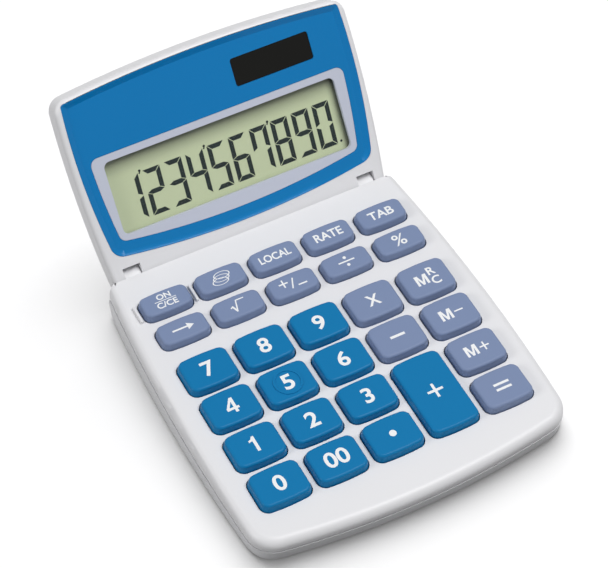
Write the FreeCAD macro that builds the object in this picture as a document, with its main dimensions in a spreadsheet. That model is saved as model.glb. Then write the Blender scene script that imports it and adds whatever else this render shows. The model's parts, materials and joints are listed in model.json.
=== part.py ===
import FreeCAD, Part
import math
import os
import Sketcher
from FreeCAD import Placement, Rotation, Vector

# Desk calculator: a wedge base with 29 keys and a display head that tilts on two pins.
#
# Three frames are used. The deck frame lies on the top of the base cover, with its origin in the
# middle of the number keys. The floor frame is level, with z = 0 under the feet. The head frame has
# its origin on the hinge axis, y up along the display and z out of its face.

SIZES = [
    ("deck_slope", 3.5, "slope of the key deck, degrees"),
    ("tilt_rest", 52.7, "tilt of the head from the deck as photographed, degrees"),
    ("tilt_most", 55.0, "tilt at which the head meets the lip of the base, degrees"),
    ("front_height", 8.8, "height of the deck above the floor at its front edge"),
    ("base_half_width", 54.4, "half width of the base where it is widest"),
    ("base_side_radius", 606.0, "radius of the bowed sides of the base"),
    ("base_widest", 2.0, "place of the widest point of the base"),
    ("base_front", 44.0, "distance of the front edge from the middle of the keys"),
    ("base_front_radius", 280.0, "radius of the bowed front edge"),
    ("base_rear_reach", 0.6, "reach of the base behind the hinge axis"),
    ("front_corner", 9.0, "corner radius of the base, front"),
    ("rear_corner", 3.0, "corner radius of the base, rear"),
    ("cover_wall", 1.8, "wall of the top cover"),
    ("cover_edge", 3.0, "rounding of the top edge of the cover"),
    ("seam_depth", 4.4, "depth of the seam below the deck"),
    ("seam_gap", 0.2, "open line between the two covers"),
    ("tray_draft", 25.0, "inward slope of the bottom cover's walls, degrees"),
    ("tray_wall", 1.8, "wall of the bottom cover"),
    ("tray_floor", 1.5, "floor of the bottom cover"),
    ("hinge_y", 69.7, "place of the hinge axis behind the middle of the keys"),
    ("trough_gap", 0.3, "gap between the head's barrel and its trough"),
    ("lug_place", 41.6, "place of each hinge lug from the centre line"),
    ("lug_width", 5.4, "width of a hinge lug"),
    ("lug_radius", 4.7, "radius of a hinge lug"),
    ("pin_radius", 1.5, "radius of the hinge pins"),
    ("pin_fit", 0.05, "radial play of the hinge pins"),
    ("pin_length", 12.4, "length of a hinge pin"),
    ("key_pitch", 19.0, "spacing of the key columns"),
    ("row_pitch", 15.3, "spacing of the number key rows"),
    ("function_row", 40.0, "place of the lower row of function keys"),
    ("function_pitch", 12.0, "spacing of the two rows of function keys"),
    ("key_width", 16.8, "width of a number key"),
    ("key_length", 13.4, "front to back length of a number key"),
    ("key_corner", 2.8, "corner radius of a number key"),
    ("function_width", 16.6, "width of a function key"),
    ("function_length", 9.1, "front to back length of a function key"),
    ("function_corner", 2.5, "corner radius of a function key"),
    ("key_bow", 70.0, "radius of the bowed front and back edges of a key"),
    ("key_rise", 2.7, "height of a key above the deck"),
    ("key_draft", 10.0, "slope of a key's sides, degrees"),
    ("key_edge", 0.9, "rounding of a key's top edge"),
    ("key_gap", 0.35, "gap between a key and its hole"),
    ("key_wall", 1.6, "side wall of a key"),
    ("key_top", 1.3, "top wall of a key"),
    ("key_travel", 1.2, "travel of a key"),
    ("flange_gap", 0.3, "gap between a key's flange and the cover"),
    ("flange_reach", 0.7, "reach of the flange beyond the key's sides"),
    ("flange_thick", 0.7, "thickness of the flange"),
    ("stem_side", 3.4, "side of the square stem under a key"),
    ("stem_gap", 0.1, "gap between a stem and its dome"),
    ("finger_ring", 4.6, "radius of the raised ring on the middle key"),
    ("finger_ring_width", 0.7, "width of that ring"),
    ("finger_ring_rise", 0.25, "height of that ring"),
    ("mat_gap", 0.3, "gap between a pressed key and the rubber mat"),
    ("mat_thick", 0.6, "thickness of the rubber mat"),
    ("dome_radius", 2.8, "radius of a rubber dome"),
    ("board_thick", 1.0, "thickness of the circuit boards"),
    ("board_margin", 6.4, "distance of the main board from the widest part of the base's sides"),
    ("board_front", 31.5, "front edge of the main board from the middle of the keys"),
    ("board_rear", 55.8, "rear edge of the main board from the middle of the keys"),
    ("post_radius", 1.8, "radius of the posts under the boards"),
    ("post_x", 30.0, "place of the main board's posts from the centre line"),
    ("post_inset", 3.5, "distance of those posts from the board's edges"),
    ("chip_radius", 7.0, "radius of the controller's cover"),
    ("chip_thick", 1.4, "thickness of the controller's cover"),
    ("chip_y", 8.0, "place of the controller"),
    ("screw_radius", 1.0, "radius of the screws"),
    ("screw_head", 2.1, "radius of the screw heads"),
    ("screw_head_thick", 1.2, "thickness of the screw heads"),
    ("screw_play", 0.05, "radial play of a screw in its boss"),
    ("screw_pass", 0.3, "radial play of a screw in its passage"),
    ("boss_wall", 1.1, "wall of the screw bosses"),
    ("screw_seat", 7.0, "depth of the case screws' seats below the deck"),
    ("screw_tip", 0.6, "distance of a case screw's tip below the cover's wall"),
    ("front_screw_x", 40.0, "place of the front case screws from the centre line"),
    ("front_screw_y", 35.8, "distance of the front case screws from the middle of the keys"),
    ("rear_screw_x", 30.0, "place of the rear case screws from the centre line"),
    ("rear_screw_y", 60.0, "distance of the rear case screws from the middle of the keys"),
    ("foot_radius", 4.5, "radius of the feet"),
    ("foot_proud", 0.8, "height of the feet below the bottom cover"),
    ("foot_sunk", 0.6, "depth of the feet in the bottom cover"),
    ("foot_gap", 0.1, "gap round the feet"),
    ("front_foot_x", 42.0, "place of the front feet from the centre line"),
    ("front_foot_y", 28.0, "distance of the front feet from the middle of the keys"),
    ("rear_foot_x", 38.0, "place of the rear feet from the centre line"),
    ("rear_foot_y", 57.0, "distance of the rear feet from the middle of the keys"),
    ("cell_radius", 5.8, "radius of the button cell"),
    ("cell_thick", 3.1, "thickness of the button cell"),
    ("cell_x", 4.5, "place of the cell left of the centre line"),
    ("door_y", 41.0, "place of the battery door"),
    ("door_width", 24.0, "width of the battery door"),
    ("door_length", 17.0, "length of the battery door"),
    ("door_gap", 0.3, "gap round the battery door"),
    ("door_screw_x", 8.0, "place of the battery door's screw"),
    ("door_screw_reach", 3.6, "length of the battery door's screw above the door"),
    ("contact_thick", 0.3, "thickness of the battery contacts"),
    ("contact_width", 4.0, "width of the battery contacts"),
    ("head_thick", 10.0, "thickness of the display head"),
    ("head_half_width", 50.6, "half width of the head where it is widest"),
    ("head_side_radius", 380.0, "radius of the bowed sides of the head"),
    ("head_widest", 42.5, "place of the widest point of the head above the hinge"),
    ("head_top", 64.8, "top edge of the head above the hinge"),
    ("head_top_radius", 440.0, "radius of the bowed top edge of the head"),
    ("head_corner", 5.0, "top corner radius of the head"),
    ("head_foot_corner", 1.5, "bottom corner radius of the head"),
    ("head_front_edge", 1.6, "rounding of the head's front edge"),
    ("head_rear_edge", 3.6, "rounding of the head's rear edge"),
    ("head_wall", 1.8, "side wall of the rear shell"),
    ("head_back", 1.5, "back wall of the rear shell"),
    ("head_cavity_foot", 6.6, "lower end of the rear shell's hollow above the hinge"),
    ("notch_play", 0.3, "side play of a hinge lug in its notch"),
    ("notch_end", 5.35, "upper end of the notches above the hinge"),
    ("bezel_side_border", 2.0, "width of the white shell beside the bezel"),
    ("bezel_side_radius", 210.0, "radius of the bezel's bowed sides"),
    ("bezel_widest", 44.5, "place of the widest point of the bezel above the hinge"),
    ("bezel_top_border", 1.3, "width of the white shell above the bezel"),
    ("bezel_top_radius", 440.0, "radius of the bezel's top edge"),
    ("bezel_foot", 5.7, "lower edge of the bezel above the hinge"),
    ("bezel_foot_radius", 282.0, "radius of the bezel's lower edge"),
    ("bezel_top_corner", 1.2, "top corner radius of the bezel"),
    ("bezel_foot_corner", 4.6, "lower corner radius of the bezel"),
    ("bezel_play", 0.1, "gap round the bezel"),
    ("bezel_thick", 3.0, "thickness of the bezel"),
    ("dish_lip", 0.2, "width of the bezel's flat lip"),
    ("dish_wall", 1.8, "width of the sloped wall of the bezel's dish"),
    ("dish_depth", 0.8, "depth of the bezel's dish"),
    ("dish_top_corner", 0.5, "top corner radius of the dish's floor"),
    ("dish_foot_corner", 2.6, "lower corner radius of the dish's floor"),
    ("surround_inset", 4.3, "distance of the grey surround from the bezel's sides"),
    ("surround_top", 41.4, "top edge of the surround above the hinge"),
    ("surround_foot", 10.1, "lower edge of the surround above the hinge"),
    ("surround_foot_radius", 260.0, "radius of the surround's lower edge"),
    ("surround_corner", 2.6, "corner radius of the surround"),
    ("surround_thick", 1.2, "thickness of the surround"),
    ("view_border", 4.0, "width of the surround at the sides of the display opening"),
    ("view_foot", 15.0, "lower edge of the display opening above the hinge"),
    ("view_top", 39.0, "top edge of the display opening above the hinge"),
    ("view_corner", 2.0, "corner radius of the display opening"),
    ("window_ledge", 1.0, "ledge of the window behind the surround"),
    ("window_thick", 0.7, "thickness of the clear window"),
    ("window_lift", 0.1, "gap between the window and the liquid crystal panel"),
    ("panel_margin", 2.8, "reach of the liquid crystal panel beyond the opening"),
    ("panel_thick", 2.0, "thickness of the liquid crystal panel"),
    ("panel_gap", 0.5, "gap round the liquid crystal panel"),
    ("strip_width", 2.0, "width of the rubber connector strip"),
    ("strip_thick", 1.2, "thickness of the rubber connector strip"),
    ("strip_inset", 1.3, "distance of the rubber strip's ends from the sides of the display opening"),
    ("solar_x", 22.2, "place of the solar cell right of the centre line"),
    ("solar_half_width", 13.7, "half width of the solar cell's opening"),
    ("solar_foot", 46.75, "lower edge of the solar cell's opening above the hinge"),
    ("solar_top", 55.95, "top edge of the solar cell's opening above the hinge"),
    ("solar_corner", 0.9, "corner radius of the solar cell's opening"),
    ("solar_sunk", 0.2, "depth of the solar cell below the bezel's floor"),
    ("display_board_margin", 2.7, "reach of the display board beyond the sides of the display opening"),
    ("display_board_foot", 12.0, "lower edge of the display board above the hinge"),
    ("display_board_top", 58.0, "top edge of the display board above the hinge"),
    ("display_post_inset", 4.0, "distance of the posts from the display board's edges"),
    ("head_screw_x", 24.0, "place of the head screws from the centre line"),
    ("head_screw_seat", 3.2, "depth of the head screws' seats behind the hinge axis"),
    ("head_screw_reach", 3.0, "reach of the head screws in front of the hinge axis"),
    ("ribbon_half_width", 6.0, "half width of the ribbon cable"),
    ("ribbon_thick", 0.3, "thickness of the ribbon cable"),
    ("ribbon_play", 2.0, "side room of the ribbon cable in its slots"),
    ("ribbon_slot", 2.2, "place of the ribbon's slot behind the hinge axis"),
    ("channel_depth", 2.2, "depth of the ribbon's channel under the trough"),
]

# Keys by kind, column from the left and row from the rear.
KEYS = {
    "function": [
        ["key_on_clear", "key_money", "key_local", "key_rate", "key_tab"],
        ["key_shift", "key_root", "key_sign", "key_divide", "key_percent"],
    ],
    "number": [
        ["key_7", "key_8", "key_9", "key_multiply", "key_memory_recall"],
        ["key_4", "key_5", "key_6", "key_minus", "key_memory_minus"],
        ["key_1", "key_2", "key_3", None, "key_memory_plus"],
        ["key_0", "key_00", "key_point", None, "key_equals"],
    ],
    "tall": [[None, None, None, "key_plus"]],
}
RINGED_KEY = "key_5"

# Blocks of holes in the cover: the kind of key, the first column and row, and how many of each.
KEY_BLOCKS = [
    ("function", 0, 0, 5, 2),
    ("number", 0, 0, 3, 4),
    ("number", 3, 0, 1, 2),
    ("number", 4, 0, 1, 4),
    ("tall", 3, 0, 1, 1),
]

doc = FreeCAD.newDocument("desk_calculator")
sheet = doc.addObject("Spreadsheet::Sheet", "Sizes")
for row, (alias, number, meaning) in enumerate(SIZES, start=1):
    sheet.set(f"A{row}", meaning)
    sheet.set(f"B{row}", str(number))
    sheet.setAlias(f"B{row}", alias)
doc.recompute()


class Size:
    """A length or angle that keeps the sheet expression it is worked out from."""

    def __init__(self, value, text):
        self.value = value
        self.text = text

    def __float__(self):
        return self.value

    def __add__(self, other):
        return Size(self.value + float(other), f"({self.text} + {wording(other)})")

    def __sub__(self, other):
        return Size(self.value - float(other), f"({self.text} - {wording(other)})")

    def __mul__(self, other):
        return Size(self.value * float(other), f"({self.text} * {wording(other)})")

    def __truediv__(self, other):
        return Size(self.value / float(other), f"({self.text} / {wording(other)})")

    def __neg__(self):
        return Size(-self.value, f"(0 - {self.text})")


class Sheet:
    """The driving sizes by name."""

    def __getattr__(self, alias):
        return Size(float(sheet.get(alias)), f"Sizes.{alias}")


def wording(size):
    return size.text if isinstance(size, Size) else repr(size)


def cosine(angle):
    return Size(math.cos(math.radians(angle.value)), f"cos({angle.text} * 1 deg)")


def sine(angle):
    return Size(math.sin(math.radians(angle.value)), f"sin({angle.text} * 1 deg)")


dim = Sheet()
zero = Size(0.0, "0")

# Depths in the deck frame, from the deck down to the main board.
flange_top = dim.cover_wall + dim.flange_gap
flange_under = flange_top + dim.flange_thick
mat_top = flange_under + dim.key_travel + dim.mat_gap
mat_under = mat_top + dim.mat_thick
board_under = mat_under + dim.board_thick
tray_top = dim.seam_depth + dim.seam_gap

# The hinge: the axis lies half the head's thickness below the deck.
barrel_radius = dim.head_thick / 2
trough_radius = barrel_radius + dim.trough_gap
base_rear = dim.hinge_y + dim.base_rear_reach
cavity_rear = dim.hinge_y - trough_radius - dim.cover_wall

# Widths and depths that follow from the base and the head.
board_half_width = dim.base_half_width - dim.board_margin
bezel_half_width = dim.head_half_width - dim.bezel_side_border
bezel_top = dim.head_top - dim.bezel_top_border
view_half_width = bezel_half_width - dim.surround_inset - dim.view_border
display_board_half_width = view_half_width + dim.display_board_margin
strip_half_length = view_half_width - dim.strip_inset
panel_top = barrel_radius - dim.bezel_thick
display_board_depth = dim.bezel_thick + dim.panel_thick + dim.strip_thick + dim.board_thick - barrel_radius

# Where the deck frame and the head frame stand on the floor.
deck_lift = dim.front_height + dim.base_front * sine(dim.deck_slope)
deck_place = Placement(
    Vector(0, 0, float(deck_lift)), Rotation(Vector(1, 0, 0), float(dim.deck_slope))
)
hinge_place = deck_place.multiply(
    Placement(
        Vector(0, float(dim.hinge_y), -float(barrel_radius)),
        Rotation(Vector(1, 0, 0), float(dim.tilt_rest)),
    )
)
pieces = []


class Bow:
    """A side of an outline that is an arc bulging outwards."""

    def __init__(self, x, y, radius):
        self.x = x
        self.y = y
        self.radius = radius


class Edge:
    """A straight side of an outline, square to an axis."""

    def __init__(self, axis, place):
        self.axis = axis
        self.place = place


class Drawing:
    """A sketch on one of its body's planes, with its sizes bound to the sheet."""

    def __init__(self, body, plane="XY_Plane", height=None, offset=None):
        self.sketch = body.newObject("Sketcher::SketchObject", "Sketch")
        support = next(f for f in body.Origin.OriginFeatures if f.Role == plane)
        self.sketch.AttachmentSupport = [(support, "")]
        self.sketch.MapMode = "FlatFace"
        if offset is not None:
            self.sketch.AttachmentOffset = offset
        if height is not None:
            self.sketch.AttachmentOffset = Placement(Vector(0, 0, float(height)), Rotation())
            self.sketch.setExpression("AttachmentOffset.Base.z", wording(height))
        self.rules = []

    def add(self, *curves):
        return list(self.sketch.addGeometry(list(curves), False))

    def rule(self, kind, *points, size=None):
        if size is None:
            self.rules.append((Sketcher.Constraint(kind, *points), None))
        else:
            self.rules.append((Sketcher.Constraint(kind, *points, float(size)), size))

    def place(self, curve, point, axis, size):
        """Fixes one coordinate of a point from the sketch's origin."""
        value = float(size)
        if abs(value) < 1e-9:
            self.rule("PointOnObject", curve, point, -2 if axis == "X" else -1)
        elif value > 0:
            self.rule("Distance" + axis, -1, 1, curve, point, size=size)
        else:
            self.rule("Distance" + axis, curve, point, -1, 1, size=-size)

    def finish(self):
        added = self.sketch.addConstraint([rule for rule, size in self.rules])
        for number, (rule, size) in zip(added, self.rules):
            if isinstance(size, Size):
                self.sketch.setExpression(f"Constraints[{number}]", size.text)
        return self.sketch

    def circle(self, x, y, radius):
        centre = Vector(float(x), float(y), 0)
        (ring,) = self.add(Part.Circle(centre, Vector(0, 0, 1), float(radius)))
        self.rule("Radius", ring, size=radius)
        self.place(ring, 3, "X", x)
        self.place(ring, 3, "Y", y)

    def polygon(self, points):
        """A closed outline of straight lines, with each corner placed by its two sizes."""
        corners = [Vector(float(x), float(y), 0) for x, y in points]
        following = corners[1:] + corners[:1]
        lines = self.add(*[Part.LineSegment(a, b) for a, b in zip(corners, following)])
        for line, after, (x, y) in zip(lines, lines[1:] + lines[:1], points):
            self.rule("Coincident", line, 2, after, 1)
            self.place(line, 1, "X", x)
            self.place(line, 1, "Y", y)

    def rectangle(self, left, right, low, high):
        self.polygon([(left, low), (right, low), (right, high), (left, high)])

    def outline(self, sides, corners, x=zero, y=zero):
        """A closed outline of four sides, right, rear, left and front, with rounded corners.

        Sides are given about the middle of the outline, which x and y put in its place.
        """
        centre = Vector(float(x), float(y), 0)
        rounds = [round_centre(sides, i, float(r)) for i, r in enumerate(corners)]
        curves = []
        for i, side in enumerate(sides):
            start = touching_point(side, rounds[i - 1])
            end = touching_point(side, rounds[i])
            if isinstance(side, Bow):
                middle = Vector(float(side.x), float(side.y), 0)
                curves.append(arc(middle + centre, float(side.radius), start + centre, end + centre))
            else:
                curves.append(Part.LineSegment(start + centre, end + centre))
            following = touching_point(sides[(i + 1) % 4], rounds[i])
            curves.append(arc(rounds[i] + centre, float(corners[i]), end + centre, following + centre))
        added = self.add(*curves)
        for curve, after in zip(added, added[1:] + added[:1]):
            self.rule("Tangent", curve, 2, after, 1)
        for i, side in enumerate(sides):
            curve = added[2 * i]
            self.rule("Radius", added[2 * i + 1], size=corners[i])
            if isinstance(side, Bow):
                self.rule("Radius", curve, size=side.radius)
                self.place(curve, 3, "X", x + side.x)
                self.place(curve, 3, "Y", y + side.y)
            elif side.axis == "x":
                self.rule("Vertical", curve)
                self.place(curve, 1, "X", x + side.place)
            else:
                self.rule("Horizontal", curve)
                self.place(curve, 1, "Y", y + side.place)


def arc(centre, radius, start, end):
    first = math.atan2(start.y - centre.y, start.x - centre.x)
    last = math.atan2(end.y - centre.y, end.x - centre.x)
    if last < first:
        last += 2 * math.pi
    return Part.ArcOfCircle(Part.Circle(centre, Vector(0, 0, 1), radius), first, last)


def inner_curve(side, index, radius):
    """The line or circle on which the centre of a corner of that radius lies."""
    if isinstance(side, Bow):
        middle = Vector(float(side.x), float(side.y), 0)
        return Part.Circle(middle, Vector(0, 0, 1), float(side.radius) - radius)
    outward = 1 if index < 2 else -1
    place = float(side.place) - outward * radius
    if side.axis == "x":
        return Part.Line(Vector(place, 0, 0), Vector(place, 1, 0))
    return Part.Line(Vector(0, place, 0), Vector(1, place, 0))


def round_centre(sides, index, radius):
    """The centre of the corner between a side and the next one."""
    after = (index + 1) % 4
    toward = Vector(1 if index in (0, 3) else -1, 1 if index < 2 else -1, 0)
    first = inner_curve(sides[index], index, radius)
    second = inner_curve(sides[after], after, radius)
    plane = Part.Plane(Vector(0, 0, 0), Vector(0, 0, 1))
    meetings = first.intersect2d(second, plane)
    return max((Vector(u, v, 0) for u, v in meetings), key=toward.dot)


def touching_point(side, centre):
    """Where a corner with that centre touches a side."""
    if isinstance(side, Bow):
        middle = Vector(float(side.x), float(side.y), 0)
        return middle + (centre - middle).normalize() * float(side.radius)
    if side.axis == "x":
        return Vector(float(side.place), centre.y, 0)
    return Vector(centre.x, float(side.place), 0)


def body_named(label, placement):
    body = doc.addObject("PartDesign::Body", label)
    body.Label = label
    body.AllowCompound = True
    body.Placement = placement
    pieces.append(body)
    return body


def pad(body, drawing, length, reverse=False, both=False, taper=None):
    """Adds a prism: along the sketch's normal, against it, or both ways from the sketch."""
    feature = body.newObject("PartDesign::Pad", "Pad")
    feature.Profile = drawing.finish()
    feature.Length = float(length)
    feature.setExpression("Length", wording(length))
    feature.Reversed = reverse
    if both:
        feature.SideType = "Symmetric"
    if taper is not None:
        feature.TaperAngle = float(taper)
        feature.setExpression("TaperAngle", wording(taper))
    doc.recompute()
    return feature


def cut(body, drawing, length=None, reverse=False, both=False):
    """Takes away a prism against the sketch's normal, along it, or both ways; all the way if no length."""
    before = body.Tip.Shape.Volume
    feature = body.newObject("PartDesign::Pocket", "Pocket")
    feature.Profile = drawing.finish()
    if length is None:
        feature.Type = "ThroughAll"
    else:
        feature.Length = float(length)
        feature.setExpression("Length", wording(length))
    feature.Reversed = reverse
    if both:
        feature.SideType = "Symmetric"
    doc.recompute()
    if not feature.Shape.Volume < before - 1e-6:
        raise RuntimeError(f"{body.Label}: a cut takes nothing away")
    return feature


def rounding(body, feature, edges, radius):
    """Rounds edges of the body's last feature."""
    names = [f"Edge{i}" for i, e in enumerate(feature.Shape.Edges, start=1) if any(e.isSame(c) for c in edges)]
    fillet = body.newObject("PartDesign::Fillet", "Fillet")
    fillet.Base = (feature, names)
    fillet.Radius = float(radius)
    fillet.setExpression("Radius", wording(radius))
    doc.recompute()
    return fillet


def repeat(body, feature, columns, rows, spacing):
    """Repeats a feature to the right in columns and to the front in rows."""
    if columns * rows == 1:
        return
    pattern = body.newObject("PartDesign::LinearPattern", "Pattern")
    pattern.Originals = [feature]
    drawing = feature.Profile[0]
    pattern.Direction = (drawing, ["H_Axis"])
    pattern.Occurrences = columns
    pattern.setExpression("Length", (dim.key_pitch * max(columns - 1, 1)).text)
    pattern.Direction2 = (drawing, ["V_Axis"])
    pattern.Reversed2 = True
    pattern.Occurrences2 = rows
    pattern.setExpression("Length2", (spacing * max(rows - 1, 1)).text)
    body.Tip = pattern
    doc.recompute()


def highest_face(shape):
    return max(shape.Faces, key=lambda face: face.BoundBox.ZMin)


def lowest_face(shape):
    return min(shape.Faces, key=lambda face: face.BoundBox.ZMax)


def floor_plane(height):
    """A level sketch plane at a height above the floor, for a piece in the deck frame."""
    return deck_place.inverse().multiply(Placement(Vector(0, 0, float(height)), Rotation()))


# Outlines


def base_sides(inset, rear):
    middle = dim.base_half_width - dim.base_side_radius
    return [
        Bow(middle, dim.base_widest, dim.base_side_radius - inset),
        Edge("y", rear),
        Bow(-middle, dim.base_widest, dim.base_side_radius - inset),
        Bow(zero, dim.base_front_radius - dim.base_front, dim.base_front_radius - inset),
    ]


def base_corners(inset):
    front = dim.front_corner - inset
    return [dim.rear_corner, dim.rear_corner, front, front]


def key_sides(width, length, grow):
    bow = dim.key_bow + grow
    middle = length / 2 - dim.key_bow
    return [
        Edge("x", width / 2 + grow),
        Bow(zero, middle, bow),
        Edge("x", -(width / 2 + grow)),
        Bow(zero, -middle, bow),
    ]


def head_sides(inset, foot):
    middle = dim.head_half_width - dim.head_side_radius
    return [
        Bow(middle, dim.head_widest, dim.head_side_radius - inset),
        Bow(zero, dim.head_top - dim.head_top_radius, dim.head_top_radius - inset),
        Bow(-middle, dim.head_widest, dim.head_side_radius - inset),
        Edge("y", foot),
    ]


def bezel_sides(inset):
    middle = bezel_half_width - dim.bezel_side_radius
    return [
        Bow(middle, dim.bezel_widest, dim.bezel_side_radius - inset),
        Bow(zero, bezel_top - dim.bezel_top_radius, dim.bezel_top_radius - inset),
        Bow(-middle, dim.bezel_widest, dim.bezel_side_radius - inset),
        Bow(zero, dim.bezel_foot + dim.bezel_foot_radius, dim.bezel_foot_radius - inset),
    ]


def surround_sides(inset):
    middle = bezel_half_width - dim.bezel_side_radius
    side = dim.bezel_side_radius - dim.surround_inset - inset
    return [
        Bow(middle, dim.bezel_widest, side),
        Edge("y", dim.surround_top - inset),
        Bow(-middle, dim.bezel_widest, side),
        Bow(zero, dim.surround_foot + dim.surround_foot_radius, dim.surround_foot_radius - inset),
    ]


def box_sides(left, right, low, high):
    return [Edge("x", right), Edge("y", high), Edge("x", left), Edge("y", low)]


def key_place(kind, column, row):
    """The place of a key on the deck, its width, length and corner radius."""
    x = dim.key_pitch * (column - 2)
    if kind == "function":
        y = dim.function_row + dim.function_pitch * (1 - row)
        return x, y, dim.function_width, dim.function_length, dim.function_corner
    if kind == "number":
        return x, dim.row_pitch * (1.5 - row), dim.key_width, dim.key_length, dim.key_corner
    return x, -dim.row_pitch, dim.key_width, dim.key_length + dim.row_pitch, dim.key_corner


def row_spacing(kind):
    return dim.function_pitch if kind == "function" else dim.row_pitch


def all_keys():
    """Each key's name, kind, column and row."""
    return [
        (name, kind, column, row)
        for kind, rows in KEYS.items()
        for row, names in enumerate(rows)
        for column, name in enumerate(names)
        if name
    ]


def case_screw_places():
    front = [(dim.front_screw_x, -dim.front_screw_y), (-dim.front_screw_x, -dim.front_screw_y)]
    rear = [(dim.rear_screw_x, dim.rear_screw_y), (-dim.rear_screw_x, dim.rear_screw_y)]
    return front + rear


def trough(drawing, radius):
    """The space that the head's barrel turns in, seen from the side: round below, with a lip in front
    that leans as far as the head does, and open at the rear."""
    clear = 1.0
    rear = 20.0
    lean = math.radians(float(dim.tilt_most))
    axis = Vector(float(dim.hinge_y), -float(barrel_radius), 0)
    lip = axis + Vector(-math.sin(lean), math.cos(lean), 0) * float(radius)
    rise = (clear - lip.y) / math.sin(lean)
    top = lip + Vector(math.cos(lean), math.sin(lean), 0) * rise
    bottom = axis - Vector(0, float(radius), 0)
    far = axis.x + rear
    curves = drawing.add(
        arc(axis, float(radius), lip, bottom),
        Part.LineSegment(bottom, Vector(far, bottom.y, 0)),
        Part.LineSegment(Vector(far, bottom.y, 0), Vector(far, clear, 0)),
        Part.LineSegment(Vector(far, clear, 0), top),
        Part.LineSegment(top, lip),
    )
    bend, low, back, high, lip_line = curves
    drawing.rule("Tangent", bend, 2, low, 1)
    drawing.rule("Coincident", low, 2, back, 1)
    drawing.rule("Coincident", back, 2, high, 1)
    drawing.rule("Coincident", high, 2, lip_line, 1)
    drawing.rule("Tangent", lip_line, 2, bend, 1)
    drawing.rule("Radius", bend, size=radius)
    drawing.place(bend, 3, "X", dim.hinge_y)
    drawing.place(bend, 3, "Y", -barrel_radius)
    drawing.rule("Horizontal", low)
    drawing.rule("Vertical", back)
    drawing.rule("Horizontal", high)
    drawing.place(back, 1, "X", dim.hinge_y + rear)
    drawing.place(high, 1, "Y", zero + clear)
    drawing.place(lip_line, 1, "X", Size(top.x, repr(top.x)))


def barrel_end(drawing, front):
    """What lies outside the round lower end of one half of the head, seen from the side."""
    side = 1 if front else -1
    radius = float(barrel_radius)
    reach = radius + 1.0
    foot = Vector(-radius, 0, 0)
    face = Vector(0, side * radius, 0)
    bend = arc(Vector(0, 0, 0), radius, face, foot) if front else arc(Vector(0, 0, 0), radius, foot, face)
    drawing.add(
        bend,
        Part.LineSegment(foot, Vector(-reach, 0, 0)),
        Part.LineSegment(Vector(-reach, 0, 0), Vector(-reach, side * reach, 0)),
        Part.LineSegment(Vector(-reach, side * reach, 0), Vector(0, side * reach, 0)),
        Part.LineSegment(Vector(0, side * reach, 0), face),
    )


# Base


def base_top_cover():
    body = body_named("base_top_cover", deck_place)
    plan = Drawing(body)
    plan.outline(base_sides(zero, base_rear), base_corners(zero))
    shell = pad(body, plan, dim.seam_depth, reverse=True)
    rounding(body, shell, highest_face(shell.Shape).Edges, dim.cover_edge)

    profile = Drawing(body, "YZ_Plane")
    trough(profile, trough_radius)
    cut(body, profile, both=True)

    hollow = Drawing(body, height=-dim.seam_depth)
    hollow.outline(base_sides(dim.cover_wall, cavity_rear), base_corners(dim.cover_wall))
    cut(body, hollow, dim.seam_depth - dim.cover_wall, reverse=True)

    bosses = Drawing(body, height=-dim.cover_wall)
    for x, y in case_screw_places():
        bosses.circle(x, y, dim.screw_radius + dim.screw_play + dim.boss_wall)
    pad(body, bosses, dim.seam_depth - dim.cover_wall, reverse=True)
    pilots = Drawing(body, height=-dim.seam_depth)
    for x, y in case_screw_places():
        pilots.circle(x, y, dim.screw_radius + dim.screw_play)
    cut(body, pilots, dim.seam_depth - dim.cover_wall - dim.screw_tip / 2, reverse=True)

    for kind, column, row, columns, rows in KEY_BLOCKS:
        x, y, width, length, corner = key_place(kind, column, row)
        hole = Drawing(body)
        hole.outline(key_sides(width, length, dim.key_gap), [corner + dim.key_gap] * 4, x, y)
        repeat(body, cut(body, hole), columns, rows, row_spacing(kind))


def tray_hollow():
    """The space inside the bottom cover, which is cut from it."""
    body = doc.addObject("PartDesign::Body", "tray_hollow")
    inset = dim.tray_wall / cosine(dim.tray_draft)
    plan = Drawing(body, height=-tray_top)
    plan.outline(base_sides(inset, cavity_rear), base_corners(inset))
    pad(body, plan, dim.head_thick, reverse=True, taper=-dim.tray_draft)
    below = Drawing(body, offset=floor_plane(dim.foot_proud + dim.tray_floor))
    reach = dim.base_half_width * 2
    below.rectangle(-reach, reach, -reach, reach)
    cut(body, below)
    return body


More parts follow.
